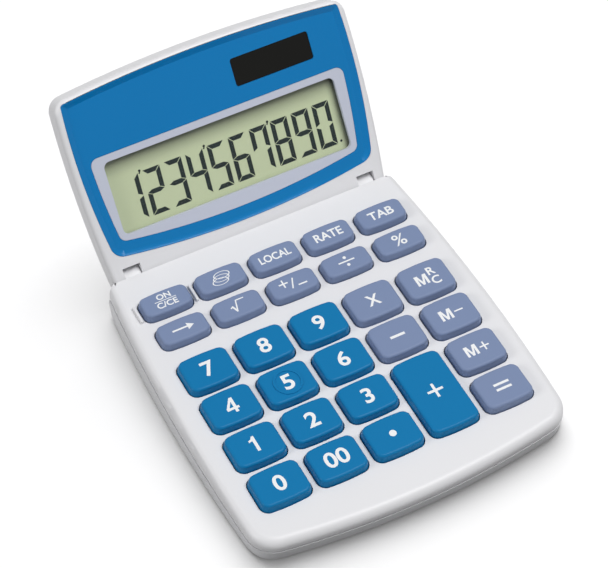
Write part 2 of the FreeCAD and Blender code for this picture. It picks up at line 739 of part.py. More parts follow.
def base_bottom_cover():
    body = body_named("base_bottom_cover", deck_place)
    plan = Drawing(body, height=-tray_top)
    plan.outline(base_sides(zero, base_rear), base_corners(zero))
    pad(body, plan, dim.head_thick + dim.seam_depth, reverse=True, taper=-dim.tray_draft)
    hollow = body.newObject("PartDesign::Boolean", "Hollow")
    hollow.Type = "Cut"
    hollow.setObjects([tray_hollow()])
    doc.recompute()

    profile = Drawing(body, "YZ_Plane")
    trough(profile, trough_radius)
    cut(body, profile, both=True)

    channel = Drawing(body, "YZ_Plane")
    channel_top = barrel_radius * 2
    channel_floor = -(channel_top + dim.trough_gap + dim.channel_depth)
    front = cavity_rear - dim.tray_wall * 2
    channel.rectangle(front, dim.hinge_y, channel_floor, -(barrel_radius + trough_radius / 2))
    cut(body, channel, (dim.ribbon_half_width + dim.ribbon_play) * 2, both=True)

    posts = Drawing(body, height=-board_under)
    for side in (1, -1):
        posts.circle(dim.post_x * side, dim.post_inset - dim.board_front, dim.post_radius)
        posts.circle(dim.post_x * side, dim.board_rear - dim.post_inset, dim.post_radius)
    pad(body, posts, dim.head_thick, reverse=True)

    head_room = dim.screw_head + dim.screw_pass
    bosses = Drawing(body, height=-tray_top)
    for x, y in case_screw_places():
        bosses.circle(x, y, head_room + dim.boss_wall)
    pad(body, bosses, dim.head_thick, reverse=True)

    cell_room = Drawing(body, height=-(board_under + dim.door_gap))
    wall_x = dim.door_width / 2 + dim.door_gap + dim.boss_wall
    wall_y = dim.door_length / 2 + dim.door_gap + dim.boss_wall
    cell_room.rectangle(-wall_x, wall_x, dim.door_y - wall_y, dim.door_y + wall_y)
    pad(body, cell_room, dim.head_thick, reverse=True)

    lug_floor = barrel_radius + trough_radius + dim.trough_gap
    for side in (1, -1):
        middle = dim.lug_place * side - dim.lug_width / 2
        lug = Drawing(body, "YZ_Plane", height=middle)
        lug.circle(dim.hinge_y, -barrel_radius, dim.lug_radius)
        pad(body, lug, dim.lug_width)
        web = Drawing(body, "YZ_Plane", height=middle)
        web.rectangle(dim.hinge_y - dim.lug_radius, base_rear, -lug_floor, -barrel_radius)
        pad(body, web, dim.lug_width)
    bore = Drawing(body, "YZ_Plane")
    bore.circle(dim.hinge_y, -barrel_radius, dim.pin_radius + dim.pin_fit)
    cut(body, bore, both=True)

    under = Drawing(body, offset=floor_plane(dim.foot_proud))
    reach = dim.base_half_width * 2
    under.rectangle(-reach, reach, -reach, reach)
    cut(body, under)

    passages = Drawing(body, height=-tray_top)
    for x, y in case_screw_places():
        passages.circle(x, y, dim.screw_radius + dim.screw_pass)
    cut(body, passages)
    seats = Drawing(body, height=-dim.screw_seat)
    for x, y in case_screw_places():
        seats.circle(x, y, head_room)
    cut(body, seats)

    opening = Drawing(body, offset=floor_plane(zero))
    half_width = dim.door_width / 2 + dim.door_gap
    half_length = dim.door_length / 2 + dim.door_gap
    opening.rectangle(-half_width, half_width, dim.door_y - half_length, dim.door_y + half_length)
    cut(body, opening, reverse=True)

    door_top = dim.foot_proud + dim.tray_floor + dim.door_gap
    boss = Drawing(body, offset=floor_plane(door_top))
    boss_half = dim.screw_radius + dim.screw_play + dim.boss_wall
    boss.rectangle(dim.door_screw_x - boss_half, wall_x, dim.door_y - boss_half, dim.door_y + boss_half)
    pad(body, boss, dim.door_screw_reach)
    pilot = Drawing(body, offset=floor_plane(door_top))
    pilot.circle(dim.door_screw_x, dim.door_y, dim.screw_radius + dim.screw_play)
    cut(body, pilot, dim.door_screw_reach, reverse=True)

    pads = Drawing(body, offset=floor_plane(zero))
    for x, y in foot_places("front") + foot_places("rear"):
        pads.circle(x, y, dim.foot_radius + dim.foot_gap)
    cut(body, pads, dim.foot_proud + dim.foot_sunk, reverse=True)


def foot_places(end):
    if end == "front":
        return [(dim.front_foot_x, -dim.front_foot_y), (-dim.front_foot_x, -dim.front_foot_y)]
    return [(dim.rear_foot_x, dim.rear_foot_y), (-dim.rear_foot_x, dim.rear_foot_y)]


def feet(end):
    body = body_named(f"{end}_feet", Placement())
    plan = Drawing(body)
    for x, y in foot_places(end):
        plan.circle(x, y, dim.foot_radius)
    pad(body, plan, dim.foot_proud + dim.foot_sunk)


def case_screws():
    body = body_named("case_screws", deck_place)
    heads = Drawing(body, height=-dim.screw_seat)
    shanks = Drawing(body, height=-dim.screw_seat)
    for x, y in case_screw_places():
        heads.circle(x, y, dim.screw_head)
        shanks.circle(x, y, dim.screw_radius)
    pad(body, heads, dim.screw_head_thick, reverse=True)
    pad(body, shanks, dim.screw_seat - dim.cover_wall - dim.screw_tip)


# Keys and what lies under them


def key_cap(name, kind, column, row):
    """A hollow cap with a flange under the cover and a stem that meets its dome."""
    x, y, width, length, corner = key_place(kind, column, row)
    place = deck_place.multiply(Placement(Vector(float(x), float(y), 0), Rotation()))
    body = body_named(name, place)
    skirt = Drawing(body)
    skirt.outline(key_sides(width, length, zero), [corner] * 4)
    pad(body, skirt, flange_top, reverse=True)
    top = Drawing(body)
    top.outline(key_sides(width, length, zero), [corner] * 4)
    cap = pad(body, top, dim.key_rise, taper=-dim.key_draft)
    rounding(body, cap, highest_face(cap.Shape).Edges, dim.key_edge)
    flange = Drawing(body, height=-flange_top)
    across = width / 2 + dim.flange_reach
    along = length / 2 + dim.flange_reach
    flange.rectangle(-across, across, -along, along)
    pad(body, flange, dim.flange_thick, reverse=True)
    hollow = Drawing(body, height=-flange_under)
    across = width / 2 - dim.key_wall
    along = length / 2 - dim.key_wall
    hollow.rectangle(-across, across, -along, along)
    ceiling = flange_under + dim.key_rise - dim.key_top
    cut(body, hollow, ceiling, reverse=True)
    stem = Drawing(body, height=-flange_under)
    half = dim.stem_side / 2
    stem.rectangle(-half, half, -half, half)
    pad(body, stem, ceiling)
    if name == RINGED_KEY:
        ring = Drawing(body, height=dim.key_rise)
        ring.circle(zero, zero, dim.finger_ring)
        ring.circle(zero, zero, dim.finger_ring - dim.finger_ring_width)
        pad(body, ring, dim.finger_ring_rise)
    return body


def same_key(name, kind, column, row, model):
    """Another cap of a kind that is already made."""
    x, y, width, length, corner = key_place(kind, column, row)
    place = deck_place.multiply(Placement(Vector(float(x), float(y), 0), Rotation()))
    body = body_named(name, place)
    copy = body.newObject("PartDesign::FeatureBase", "Copy")
    copy.BaseFeature = model
    body.Tip = copy


def keycaps():
    models = {}
    for name, kind, column, row in all_keys():
        if kind in models and name != RINGED_KEY:
            same_key(name, kind, column, row, models[kind])
        else:
            models.setdefault(kind, key_cap(name, kind, column, row))


def keypad_mat():
    body = body_named("keypad_mat", deck_place)
    board = Drawing(body, height=-mat_top)
    board.rectangle(-board_half_width, board_half_width, -dim.board_front, dim.board_rear)
    pad(body, board, dim.mat_thick, reverse=True)
    for kind, column, row, columns, rows in KEY_BLOCKS:
        x, y, width, length, corner = key_place(kind, column, row)
        dome = Drawing(body, height=-mat_top)
        dome.circle(x, y, dim.dome_radius)
        bump = pad(body, dome, mat_top - flange_under - dim.stem_gap)
        repeat(body, bump, columns, rows, row_spacing(kind))


def main_board():
    body = body_named("main_circuit_board", deck_place)
    board = Drawing(body, height=-mat_under)
    board.rectangle(-board_half_width, board_half_width, -dim.board_front, dim.board_rear)
    pad(body, board, dim.board_thick, reverse=True)


def controller():
    body = body_named("controller_cover", deck_place)
    plan = Drawing(body, height=-board_under)
    plan.circle(zero, dim.chip_y, dim.chip_radius)
    blob = pad(body, plan, dim.chip_thick, reverse=True)
    rounding(body, blob, lowest_face(blob.Shape).Edges, dim.chip_thick / 2)


# Battery


def battery_door():
    body = body_named("battery_door", Placement())
    half_width = dim.door_width / 2
    plan = Drawing(body, height=dim.foot_proud)
    low = dim.door_y - dim.door_length / 2
    high = dim.door_y + dim.door_length / 2
    plan.rectangle(-half_width, half_width, low, high)
    pad(body, plan, dim.tray_floor)
    passage = Drawing(body, height=dim.foot_proud + dim.tray_floor)
    passage.circle(dim.door_screw_x, dim.door_y, dim.screw_radius + dim.screw_pass)
    cut(body, passage)
    seat = Drawing(body, height=dim.foot_proud)
    seat.circle(dim.door_screw_x, dim.door_y, dim.screw_head + dim.screw_pass)
    cut(body, seat, dim.tray_floor / 2, reverse=True)


def battery_door_screw():
    body = body_named("battery_door_screw", Placement())
    seat = dim.foot_proud + dim.tray_floor / 2
    head = Drawing(body, height=seat)
    head.circle(dim.door_screw_x, dim.door_y, dim.screw_head)
    pad(body, head, dim.tray_floor / 2, reverse=True)
    shank = Drawing(body, height=seat)
    shank.circle(dim.door_screw_x, dim.door_y, dim.screw_radius)
    pad(body, shank, dim.tray_floor / 2 + dim.door_screw_reach)


def battery_cell():
    body = body_named("battery_cell", Placement())
    plan = Drawing(body, height=dim.foot_proud + dim.tray_floor)
    plan.circle(-dim.cell_x, dim.door_y, dim.cell_radius)
    can = pad(body, plan, dim.cell_thick)
    rounding(body, can, lowest_face(can.Shape).Edges, dim.contact_thick)


def battery_contacts():
    """Two bent springs under the main board: one on the cell's end, one on its side."""
    cell_top = dim.foot_proud + dim.tray_floor + dim.cell_thick
    room_top = (
        deck_lift
        + dim.door_y * sine(dim.deck_slope)
        - (board_under + dim.door_gap * 2) * cosine(dim.deck_slope)
    )
    thick = dim.contact_thick
    half = dim.contact_width / 2
    rear = dim.door_y + dim.door_length / 2 - dim.door_gap
    end = body_named("battery_contact_end", Placement())
    leaf = Drawing(end, "YZ_Plane", height=-dim.cell_x - half)
    leaf.polygon(
        [
            (dim.door_y - half, cell_top),
            (rear, cell_top),
            (rear, room_top),
            (dim.door_y, room_top),
            (dim.door_y, room_top - thick),
            (rear - thick, room_top - thick),
            (rear - thick, cell_top + thick),
            (dim.door_y - half, cell_top + thick),
        ]
    )
    pad(end, leaf, dim.contact_width)

    side = body_named("battery_contact_side", Placement())
    left = -(dim.door_width / 2)
    outer = -(dim.cell_x + dim.cell_radius) - thick / 3
    leaf = Drawing(side, "XZ_Plane", height=-dim.door_y - half)
    base = dim.foot_proud + dim.tray_floor + thick
    leaf.polygon(
        [
            (outer - thick, base),
            (outer, base),
            (outer, room_top),
            (left, room_top),
            (left, room_top - thick),
            (outer - thick, room_top - thick),
        ]
    )
    pad(side, leaf, dim.contact_width)


# Display head


def head_half(label, front):
    """The outer form of one half of the head, with its notches for the lugs and its pin seats."""
    body = body_named(label, hinge_place)
    plan = Drawing(body)
    corners = [dim.head_corner, dim.head_corner, dim.head_foot_corner, dim.head_foot_corner]
    plan.outline(head_sides(zero, -barrel_radius), corners)
    pad(body, plan, barrel_radius, reverse=not front)
    foot = Drawing(body, "YZ_Plane")
    barrel_end(foot, front)
    block = cut(body, foot, both=True)
    face = highest_face(block.Shape) if front else lowest_face(block.Shape)
    sides = [e for e in face.Edges if e.BoundBox.YMax > float(barrel_radius)]
    rounding(body, block, sides, dim.head_front_edge if front else dim.head_rear_edge)

    half_notch = dim.lug_width / 2 + dim.notch_play
    seat_half = dim.pin_length / 2 + dim.trough_gap
    for side in (1, -1):
        notch = Drawing(body)
        middle = dim.lug_place * side
        notch.rectangle(middle - half_notch, middle + half_notch, -dim.head_thick, dim.notch_end)
        cut(body, notch, reverse=front)
        seat = Drawing(body, "YZ_Plane", height=middle - seat_half)
        seat.circle(zero, zero, dim.pin_radius + dim.pin_fit)
        cut(body, seat, seat_half * 2, reverse=True)
    return body


def head_front_shell():
    body = head_half("head_front_shell", True)
    recess = Drawing(body, height=barrel_radius)
    corners = [dim.bezel_top_corner, dim.bezel_top_corner, dim.bezel_foot_corner, dim.bezel_foot_corner]
    recess.outline(bezel_sides(zero), corners)
    cut(body, recess, dim.bezel_thick)
    opening = Drawing(body)
    reach = dim.panel_margin + dim.panel_gap
    across = view_half_width + reach
    opening.rectangle(-across, across, dim.view_foot - reach, dim.view_top + reach)
    cut(body, opening, reverse=True)
    pilots = Drawing(body)
    for side in (1, -1):
        pilots.circle(dim.head_screw_x * side, zero, dim.screw_radius + dim.screw_play)
    cut(body, pilots, dim.head_screw_reach + dim.screw_pass, reverse=True)


def head_rear_shell():
    body = head_half("head_rear_shell", False)
    hollow = Drawing(body)
    corner = dim.head_corner - dim.head_wall
    hollow.outline(head_sides(dim.head_wall, dim.head_cavity_foot), [corner, corner, corner, corner])
    cut(body, hollow, barrel_radius - dim.head_back)
    posts = Drawing(body, height=dim.head_back - barrel_radius)
    for x, y in display_post_places():
        posts.circle(x, y, dim.post_radius)
    pad(body, posts, barrel_radius - dim.head_back - display_board_depth)

    passages = Drawing(body)
    seats = Drawing(body, height=-dim.head_screw_seat)
    for side in (1, -1):
        passages.circle(dim.head_screw_x * side, zero, dim.screw_radius + dim.screw_pass)
        seats.circle(dim.head_screw_x * side, zero, dim.screw_head + dim.screw_pass)
    cut(body, passages)
    cut(body, seats)

    slot = Drawing(body, height=-dim.ribbon_slot)
    across = dim.ribbon_half_width + dim.ribbon_play
    slot.rectangle(-across, across, -dim.head_thick, dim.head_cavity_foot + dim.head_wall)
    cut(body, slot, barrel_radius)


def display_post_places():
    x = display_board_half_width - dim.display_post_inset
    low = dim.display_board_foot + dim.display_post_inset
    high = dim.display_board_top - dim.display_post_inset
    return [(x, low), (-x, low), (x, high), (-x, high)]


def display_bezel():
    body = body_named("display_bezel", hinge_place)
    plan = Drawing(body, height=barrel_radius)
    play = dim.bezel_play
    top = dim.bezel_top_corner - play
    foot = dim.bezel_foot_corner - play
    plan.outline(bezel_sides(play), [top, top, foot, foot])
    pad(body, plan, dim.bezel_thick, reverse=True)

    rim = Drawing(body, height=barrel_radius)
    inset = play + dim.dish_lip
    top = top - dim.dish_lip
    foot = foot - dim.dish_lip
    rim.outline(bezel_sides(inset), [top, top, foot, foot])
    floor_height = barrel_radius - dim.dish_depth
    floor = Drawing(body, height=floor_height)
    inset = inset + dim.dish_wall
    corners = [dim.dish_top_corner, dim.dish_top_corner, dim.dish_foot_corner, dim.dish_foot_corner]
    floor.outline(bezel_sides(inset), corners)
    before = body.Tip.Shape.Volume
    dish = body.newObject("PartDesign::SubtractiveLoft", "Dish")
    dish.Profile = rim.finish()
    dish.Sections = [floor.finish()]
    dish.Ruled = True
    doc.recompute()
    if not dish.Shape.Volume < before - 1e-6:
        raise RuntimeError("display_bezel: the dish takes nothing away")

    seat = Drawing(body, height=floor_height)
    seat.outline(surround_sides(zero), [dim.surround_corner] * 4)
    cut(body, seat, dim.surround_thick)
    openings = Drawing(body, height=floor_height)
    across = view_half_width + dim.window_ledge
    low = dim.view_foot - dim.window_ledge
    high = dim.view_top + dim.window_ledge
    openings.rectangle(-across, across, low, high)
    sides = box_sides(-dim.solar_half_width, dim.solar_half_width, dim.solar_foot, dim.solar_top)
    openings.outline(sides, [dim.solar_corner] * 4, dim.solar_x)
    cut(body, openings)


def lcd_surround():
    body = body_named("lcd_surround", hinge_place)
    plan = Drawing(body, height=barrel_radius - dim.dish_depth)
    play = dim.bezel_play
    plan.outline(surround_sides(play), [dim.surround_corner - play] * 4)
    sides = box_sides(-view_half_width, view_half_width, dim.view_foot, dim.view_top)
    plan.outline(sides, [dim.view_corner] * 4)
    pad(body, plan, dim.surround_thick, reverse=True)


def display_window():
    body = body_named("display_window", hinge_place)
    plan = Drawing(body, height=panel_top + dim.window_lift)
    ledge = dim.window_ledge - dim.bezel_play
    across = view_half_width + ledge
    plan.rectangle(-across, across, dim.view_foot - ledge, dim.view_top + ledge)
    pad(body, plan, dim.window_thick)


def lcd_panel():
    body = body_named("lcd_panel", hinge_place)
    plan = Drawing(body, height=panel_top)
    across = view_half_width + dim.panel_margin
    low = dim.view_foot - dim.panel_margin
    high = dim.view_top + dim.panel_margin
    plan.rectangle(-across, across, low, high)
    pad(body, plan, dim.panel_thick, reverse=True)


def lcd_connector_strip():
    body = body_named("lcd_connector_strip", hinge_place)
    plan = Drawing(body, height=panel_top - dim.panel_thick)
    low = dim.view_foot - dim.panel_margin
    plan.rectangle(-strip_half_length, strip_half_length, low, low + dim.strip_width)
    pad(body, plan, dim.strip_thick, reverse=True)


def display_board():
    body = body_named("display_circuit_board", hinge_place)
    plan = Drawing(body, height=-display_board_depth)
    across = display_board_half_width
    plan.rectangle(-across, across, dim.display_board_foot, dim.display_board_top)
    pad(body, plan, dim.board_thick)


def solar_cell():
    body = body_named("solar_cell", hinge_place)
    plan = Drawing(body, height=barrel_radius - dim.dish_depth - dim.solar_sunk)
    play = dim.bezel_play
    across = dim.solar_half_width - play
    sides = box_sides(-across, across, dim.solar_foot + play, dim.solar_top - play)
    plan.outline(sides, [dim.solar_corner - play] * 4, dim.solar_x)
    pad(body, plan, dim.bezel_thick - dim.dish_depth - dim.solar_sunk, reverse=True)


def hinge_pin(label, side):
    body = body_named(label, hinge_place)
    end = Drawing(body, "YZ_Plane", height=dim.lug_place * side - dim.pin_length / 2)
    end.circle(zero, zero, dim.pin_radius)
    pad(body, end, dim.pin_length)


def head_screws():
    body = body_named("head_screws", hinge_place)
    heads = Drawing(body, height=-dim.head_screw_seat)
    shanks = Drawing(body, height=-dim.head_screw_seat)
    for side in (1, -1):
        heads.circle(dim.head_screw_x * side, zero, dim.screw_head)
        shanks.circle(dim.head_screw_x * side, zero, dim.screw_radius)
    pad(body, heads, dim.screw_head_thick, reverse=True)
    pad(body, shanks, dim.head_screw_seat + dim.head_screw_reach)


def ribbon_cable():
    """A flat cable from the display board, through the hinge, to the underside of the main board."""
    body = body_named("display_ribbon_cable", deck_place)
    to_deck = deck_place.inverse().multiply(hinge_place)
    half = float(dim.ribbon_thick) / 2
    behind = float(display_board_depth) + half
    low = float(dim.display_board_foot)
    slot = float(dim.ribbon_slot) + half * 6
    head_points = [(low + 4.0, -behind), (low - 5.0, -behind), (-3.2, -slot)]
    route = [to_deck.multVec(Vector(0, y, z)) for y, z in head_points]
    channel = float(trough_radius) + float(barrel_radius) + float(dim.channel_depth) / 2
    rear = float(cavity_rear)
    under = float(board_under) + half
    board_end = float(dim.board_rear)
    route.append(Vector(0, rear + 3.5, -channel))
    route.append(Vector(0, rear - 1.5, -channel))
    route.append(Vector(0, board_end - 1.0, -under))
    route.append(Vector(0, board_end - 5.0, -under))
    upper = []
    lower = []
    for i, point in enumerate(route):
        ahead = (route[min(i + 1, len(route) - 1)] - route[max(i, 1) - 1]).normalize()
        across = Vector(0, -ahead.z, ahead.y) * half
        upper.append((point + across).y)
        upper.append((point + across).z)
        lower.append((point - across).y)
        lower.append((point - across).z)
    corners = list(zip(upper[::2], upper[1::2])) + list(zip(lower[::2], lower[1::2]))[::-1]
    edge = Drawing(body, "YZ_Plane")
    points = [Vector(y, z, 0) for y, z in corners]
    edge.add(*[Part.LineSegment(a, b) for a, b in zip(points, points[1:] + points[:1])])
    pad(body, edge, dim.ribbon_half_width * 2, both=True)


base_top_cover()
base_bottom_cover()
feet("front")
feet("rear")
case_screws()
keycaps()
keypad_mat()
main_board()
controller()
battery_door()
battery_door_screw()
battery_cell()
battery_contacts()
head_front_shell()
head_rear_shell()
display_bezel()
lcd_surround()
display_window()
lcd_panel()
lcd_connector_strip()
display_board()
solar_cell()
hinge_pin("hinge_pin_right", 1)
hinge_pin("hinge_pin_left", -1)
head_screws()
ribbon_cable()

# The origin goes under the middle of the finished calculator.
doc.recompute()
box = FreeCAD.BoundBox()
for piece in pieces:
    box.add(piece.Shape.optimalBoundingBox())
home = Placement(Vector(-box.Center.x, -box.Center.y, -box.ZMin), Rotation())
for piece in pieces:
    piece.Placement = home.multiply(piece.Placement)
doc.recompute()

for item in doc.Objects:
    if {"Invalid", "Error"} & set(item.State):
        raise RuntimeError(f"{item.Label} failed: {item.State}")
for piece in pieces:
    if piece.Shape.isNull() or not piece.Shape.isValid():
        raise RuntimeError(f"{piece.Label} has no valid shape")

os.makedirs("parts", exist_ok=True)
for piece in pieces:
    piece.Shape.exportStep(f"parts/{piece.Label}.step")
    print(f"{piece.Label}: {len(piece.Shape.Solids)} solids, {piece.Shape.Volume:.1f} mm3")

axis = home.multiply(hinge_place).Base
press = deck_place.Rotation.multVec(Vector(0, 0, -1))
print(f"hinge axis at {axis.x:.4f} {axis.y:.4f} {axis.z:.4f}")
print(f"keys are pressed along {press.x:.6f} {press.y:.6f} {press.z:.6f}")
print(f"shift {home.Base.x:.4f} {home.Base.y:.4f} {home.Base.z:.4f}")
print(f"box {box.XLength:.2f} {box.YLength:.2f} {box.ZLength:.2f}")
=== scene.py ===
import json
import math
import bmesh
import bpy
from mathutils import Matrix, Vector


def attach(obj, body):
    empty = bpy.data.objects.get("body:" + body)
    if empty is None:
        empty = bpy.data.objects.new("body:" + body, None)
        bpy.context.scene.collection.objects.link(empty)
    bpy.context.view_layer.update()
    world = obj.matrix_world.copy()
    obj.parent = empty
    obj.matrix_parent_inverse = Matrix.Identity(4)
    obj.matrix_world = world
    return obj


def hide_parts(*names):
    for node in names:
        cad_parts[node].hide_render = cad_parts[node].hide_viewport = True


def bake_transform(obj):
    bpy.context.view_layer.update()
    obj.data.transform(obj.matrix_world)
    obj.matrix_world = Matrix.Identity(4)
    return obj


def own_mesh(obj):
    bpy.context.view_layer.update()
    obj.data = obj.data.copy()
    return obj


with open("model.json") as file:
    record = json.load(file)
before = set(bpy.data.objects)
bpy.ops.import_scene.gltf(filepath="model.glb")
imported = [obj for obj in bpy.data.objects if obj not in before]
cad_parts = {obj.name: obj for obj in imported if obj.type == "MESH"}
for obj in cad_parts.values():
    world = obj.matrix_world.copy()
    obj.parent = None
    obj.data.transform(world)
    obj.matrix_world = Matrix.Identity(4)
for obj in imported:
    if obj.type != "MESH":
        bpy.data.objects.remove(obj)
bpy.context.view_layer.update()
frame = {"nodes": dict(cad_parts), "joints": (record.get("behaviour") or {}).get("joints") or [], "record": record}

# Base covers. Two white moulded halves, the upper one with a hole for each key, screwed together from
# below. They meet at a thin open seam, over the almost upright wall of the lower one. The plastic has a
# fine satin grain, so its gloss breaks up and its tone wanders very slightly.
MM = 0.001
MERGE = 1e-6
NEAR = 0.02 * MM
SOFT_EDGE = math.radians(32)
FLAT = math.radians(0.2)
FLAT_FACE_WEIGHT = 100
SHELL_WHITE = (0.785, 0.785, 0.805)
GRAIN_DETAIL = 3.0
GRAIN_HEIGHT = 0.1 * MM
GLOSS_LOW = 0.85
GLOSS_HIGH = 1.15
FLOW_SCALE = 35.0
FLOW_DETAIL = 2.0
FLOW_MIDDLE = 0.5
SEAM_LIFT = 0.3 * MM
WALL_SLOPE = math.radians(25)
WALL_SLOPE_PLAY = 0.08
BAND_SLOPE = math.radians(3)
REAR_FACING = 0.5
KEY_JOINTS = {joint["child"]: joint for joint in frame["joints"] if joint["type"] == "slide"}
RIGHT = Vector((1, 0, 0))
UP = -Vector(next(iter(KEY_JOINTS.values()))["axis"]).normalized()
ALONG = UP.cross(RIGHT)


def moulded_finish():
    """The grain, gloss and tone that all moulded pieces share."""
    group = bpy.data.node_groups.new("moulded finish", "ShaderNodeTree")
    sockets = {
        "INPUT": {"Colour": "Color", "Roughness": "Float", "Grain Scale": "Float", "Tone Spread": "Float"},
        "OUTPUT": {"Colour": "Color", "Roughness": "Float", "Height": "Float"},
    }
    for side, names in sockets.items():
        for name, kind in names.items():
            group.interface.new_socket(name=name, in_out=side, socket_type="NodeSocket" + kind)
    nodes, links = group.nodes, group.links
    given = nodes.new("NodeGroupInput")
    result = nodes.new("NodeGroupOutput")
    place = nodes.new("ShaderNodeTexCoord")
    grain = nodes.new("ShaderNodeTexNoise")
    grain.inputs["Detail"].default_value = GRAIN_DETAIL
    links.new(place.outputs["Object"], grain.inputs["Vector"])
    links.new(given.outputs["Grain Scale"], grain.inputs["Scale"])
    flow = nodes.new("ShaderNodeTexNoise")
    flow.inputs["Scale"].default_value = FLOW_SCALE
    flow.inputs["Detail"].default_value = FLOW_DETAIL
    links.new(place.outputs["Object"], flow.inputs["Vector"])
    centred = nodes.new("ShaderNodeMath")
    centred.operation = "SUBTRACT"
    centred.inputs[1].default_value = FLOW_MIDDLE
    links.new(flow.outputs["Fac"], centred.inputs[0])
    swing = nodes.new("ShaderNodeMath")
    swing.operation = "MULTIPLY_ADD"
    swing.inputs[2].default_value = 1.0
    links.new(centred.outputs[0], swing.inputs[0])
    links.new(given.outputs["Tone Spread"], swing.inputs[1])
    tone = nodes.new("ShaderNodeHueSaturation")
    links.new(given.outputs["Colour"], tone.inputs["Color"])
    links.new(swing.outputs[0], tone.inputs["Value"])
    spread = nodes.new("ShaderNodeMapRange")
    spread.inputs["To Min"].default_value = GLOSS_LOW
    spread.inputs["To Max"].default_value = GLOSS_HIGH
    links.new(grain.outputs["Fac"], spread.inputs["Value"])
    gloss = nodes.new("ShaderNodeMath")
    gloss.operation = "MULTIPLY"
    links.new(given.outputs["Roughness"], gloss.inputs[0])
    links.new(spread.outputs["Result"], gloss.inputs[1])
    links.new(tone.outputs["Color"], result.inputs["Colour"])
    links.new(gloss.outputs[0], result.inputs["Roughness"])
    links.new(grain.outputs["Fac"], result.inputs["Height"])
    return group


FINISH = moulded_finish()


def moulded(name, colour, roughness, grain_scale=2600.0, grain_depth=0.02, tone_spread=0.05, sheen=0.5):
    """A material with the moulded finish, in its own colour, gloss and grain."""
    material = bpy.data.materials.new(name)
    material.use_nodes = True
    nodes, links = material.node_tree.nodes, material.node_tree.links
    shader = nodes["Principled BSDF"]
    shader.inputs["Specular IOR Level"].default_value = sheen
    finish = nodes.new("ShaderNodeGroup")
    finish.node_tree = FINISH
    finish.inputs["Colour"].default_value = (*colour, 1.0)
    finish.inputs["Roughness"].default_value = roughness
    finish.inputs["Grain Scale"].default_value = grain_scale
    finish.inputs["Tone Spread"].default_value = tone_spread
    bump = nodes.new("ShaderNodeBump")
    bump.inputs["Strength"].default_value = grain_depth
    bump.inputs["Distance"].default_value = GRAIN_HEIGHT
    links.new(finish.outputs["Colour"], shader.inputs["Base Color"])
    links.new(finish.outputs["Roughness"], shader.inputs["Roughness"])
    links.new(finish.outputs["Height"], bump.inputs["Height"])
    links.new(bump.outputs["Normal"], shader.inputs["Normal"])
    return material


def body_of(node):
    """The body that a node moves with."""
    for body, names in frame["record"]["behaviour"]["bodies"].items():
        if node in names:
            return body


def slot_of(node):
    """The material slot that the record gives a node."""
    for entry in frame["record"]["subparts"]:
        if entry["node"] == node:
            return entry["material_slot"]


def settle(piece, node, material):
    """Gives a piece a material and the body that a node moves with."""
    piece.data.materials.clear()
    piece.data.materials.append(material)
    bpy.context.scene.collection.objects.link(piece)
    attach(piece, body_of(node))
    return piece


def reach(node, direction):
    """The lowest and highest place of a node's points along a direction."""
    places = [vertex.co.dot(direction) for vertex in frame["nodes"][node].data.vertices]
    return min(places), max(places)


SEAM = reach("base_top_cover", UP)[0]


def open_seam(work):
    """Lifts the upper cover's rim a little, so that the seam reads as a dark line."""
    rim = [vertex for vertex in work.verts if abs(vertex.co.dot(UP) - SEAM) < NEAR]
    bmesh.ops.translate(work, vec=UP * SEAM_LIFT, verts=rim)


def upright_wall(work):
    """Stands the lower cover's sloping wall almost upright under the seam, except at the rear."""
    straighter = math.tan(WALL_SLOPE) - math.tan(BAND_SLOPE)
    moves = {}
    for vertex in work.verts:
        outward = Vector()
        for face in vertex.link_faces:
            rise = face.normal.dot(UP)
            flat = (face.normal - UP * rise).normalized()
            sloping = abs(rise + math.sin(WALL_SLOPE)) < WALL_SLOPE_PLAY
            if sloping and flat.dot(vertex.co) > 0 and flat.dot(ALONG) < REAR_FACING:
                outward += flat
        deep = SEAM - vertex.co.dot(UP)
        if outward.length > 0 and deep > 0:
            moves[vertex] = outward.normalized() * deep * straighter
    for vertex, move in moves.items():
        vertex.co += move


def dress(node, material, crease=SOFT_EDGE, reshape=None):
    """Makes a merged and smoothly shaded copy of a node, which stands for it."""
    mesh = frame["nodes"][node].data.copy()
    mesh.name = node + "_skin"
    work = bmesh.new()
    work.from_mesh(mesh)
    bmesh.ops.remove_doubles(work, verts=work.verts, dist=MERGE)
    bmesh.ops.dissolve_limit(work, angle_limit=FLAT, verts=work.verts, edges=work.edges)
    if reshape:
        reshape(work)
    work.to_mesh(mesh)
    work.free()
    mesh.shade_smooth()
    mesh.set_sharp_from_angle(angle=crease)
    piece = settle(bpy.data.objects.new(node + "_skin", mesh), node, material)
    weights = piece.modifiers.new("flat faces stay flat", "WEIGHTED_NORMAL")
    weights.weight = FLAT_FACE_WEIGHT
    weights.keep_sharp = True
    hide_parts(node)


def paint(node, material):
    """Puts a material on a node that keeps its own mesh."""
    frame["nodes"][node].data.materials.clear()
    frame["nodes"][node].data.materials.append(material)


shell_white = moulded("white shell plastic", SHELL_WHITE, roughness=0.42, tone_spread=0.03)
dress("base_top_cover", shell_white, reshape=open_seam)
dress("base_bottom_cover", shell_white, reshape=upright_wall)

# Feet and screws. Dark rubber discs are pressed into shallow recesses under the base, and plated screws
# hold the halves of the base, those of the head and the battery door.
FOOT_BLACK = (0.02, 0.02, 0.021)
SCREW_STEEL = (0.55, 0.55, 0.57)


def plated(name, colour, roughness):
    """A metal with a fine grain."""
    material = moulded(name, colour, roughness, grain_scale=900.0, grain_depth=0.01)
    material.node_tree.nodes["Principled BSDF"].inputs["Metallic"].default_value = 1.0
    return material


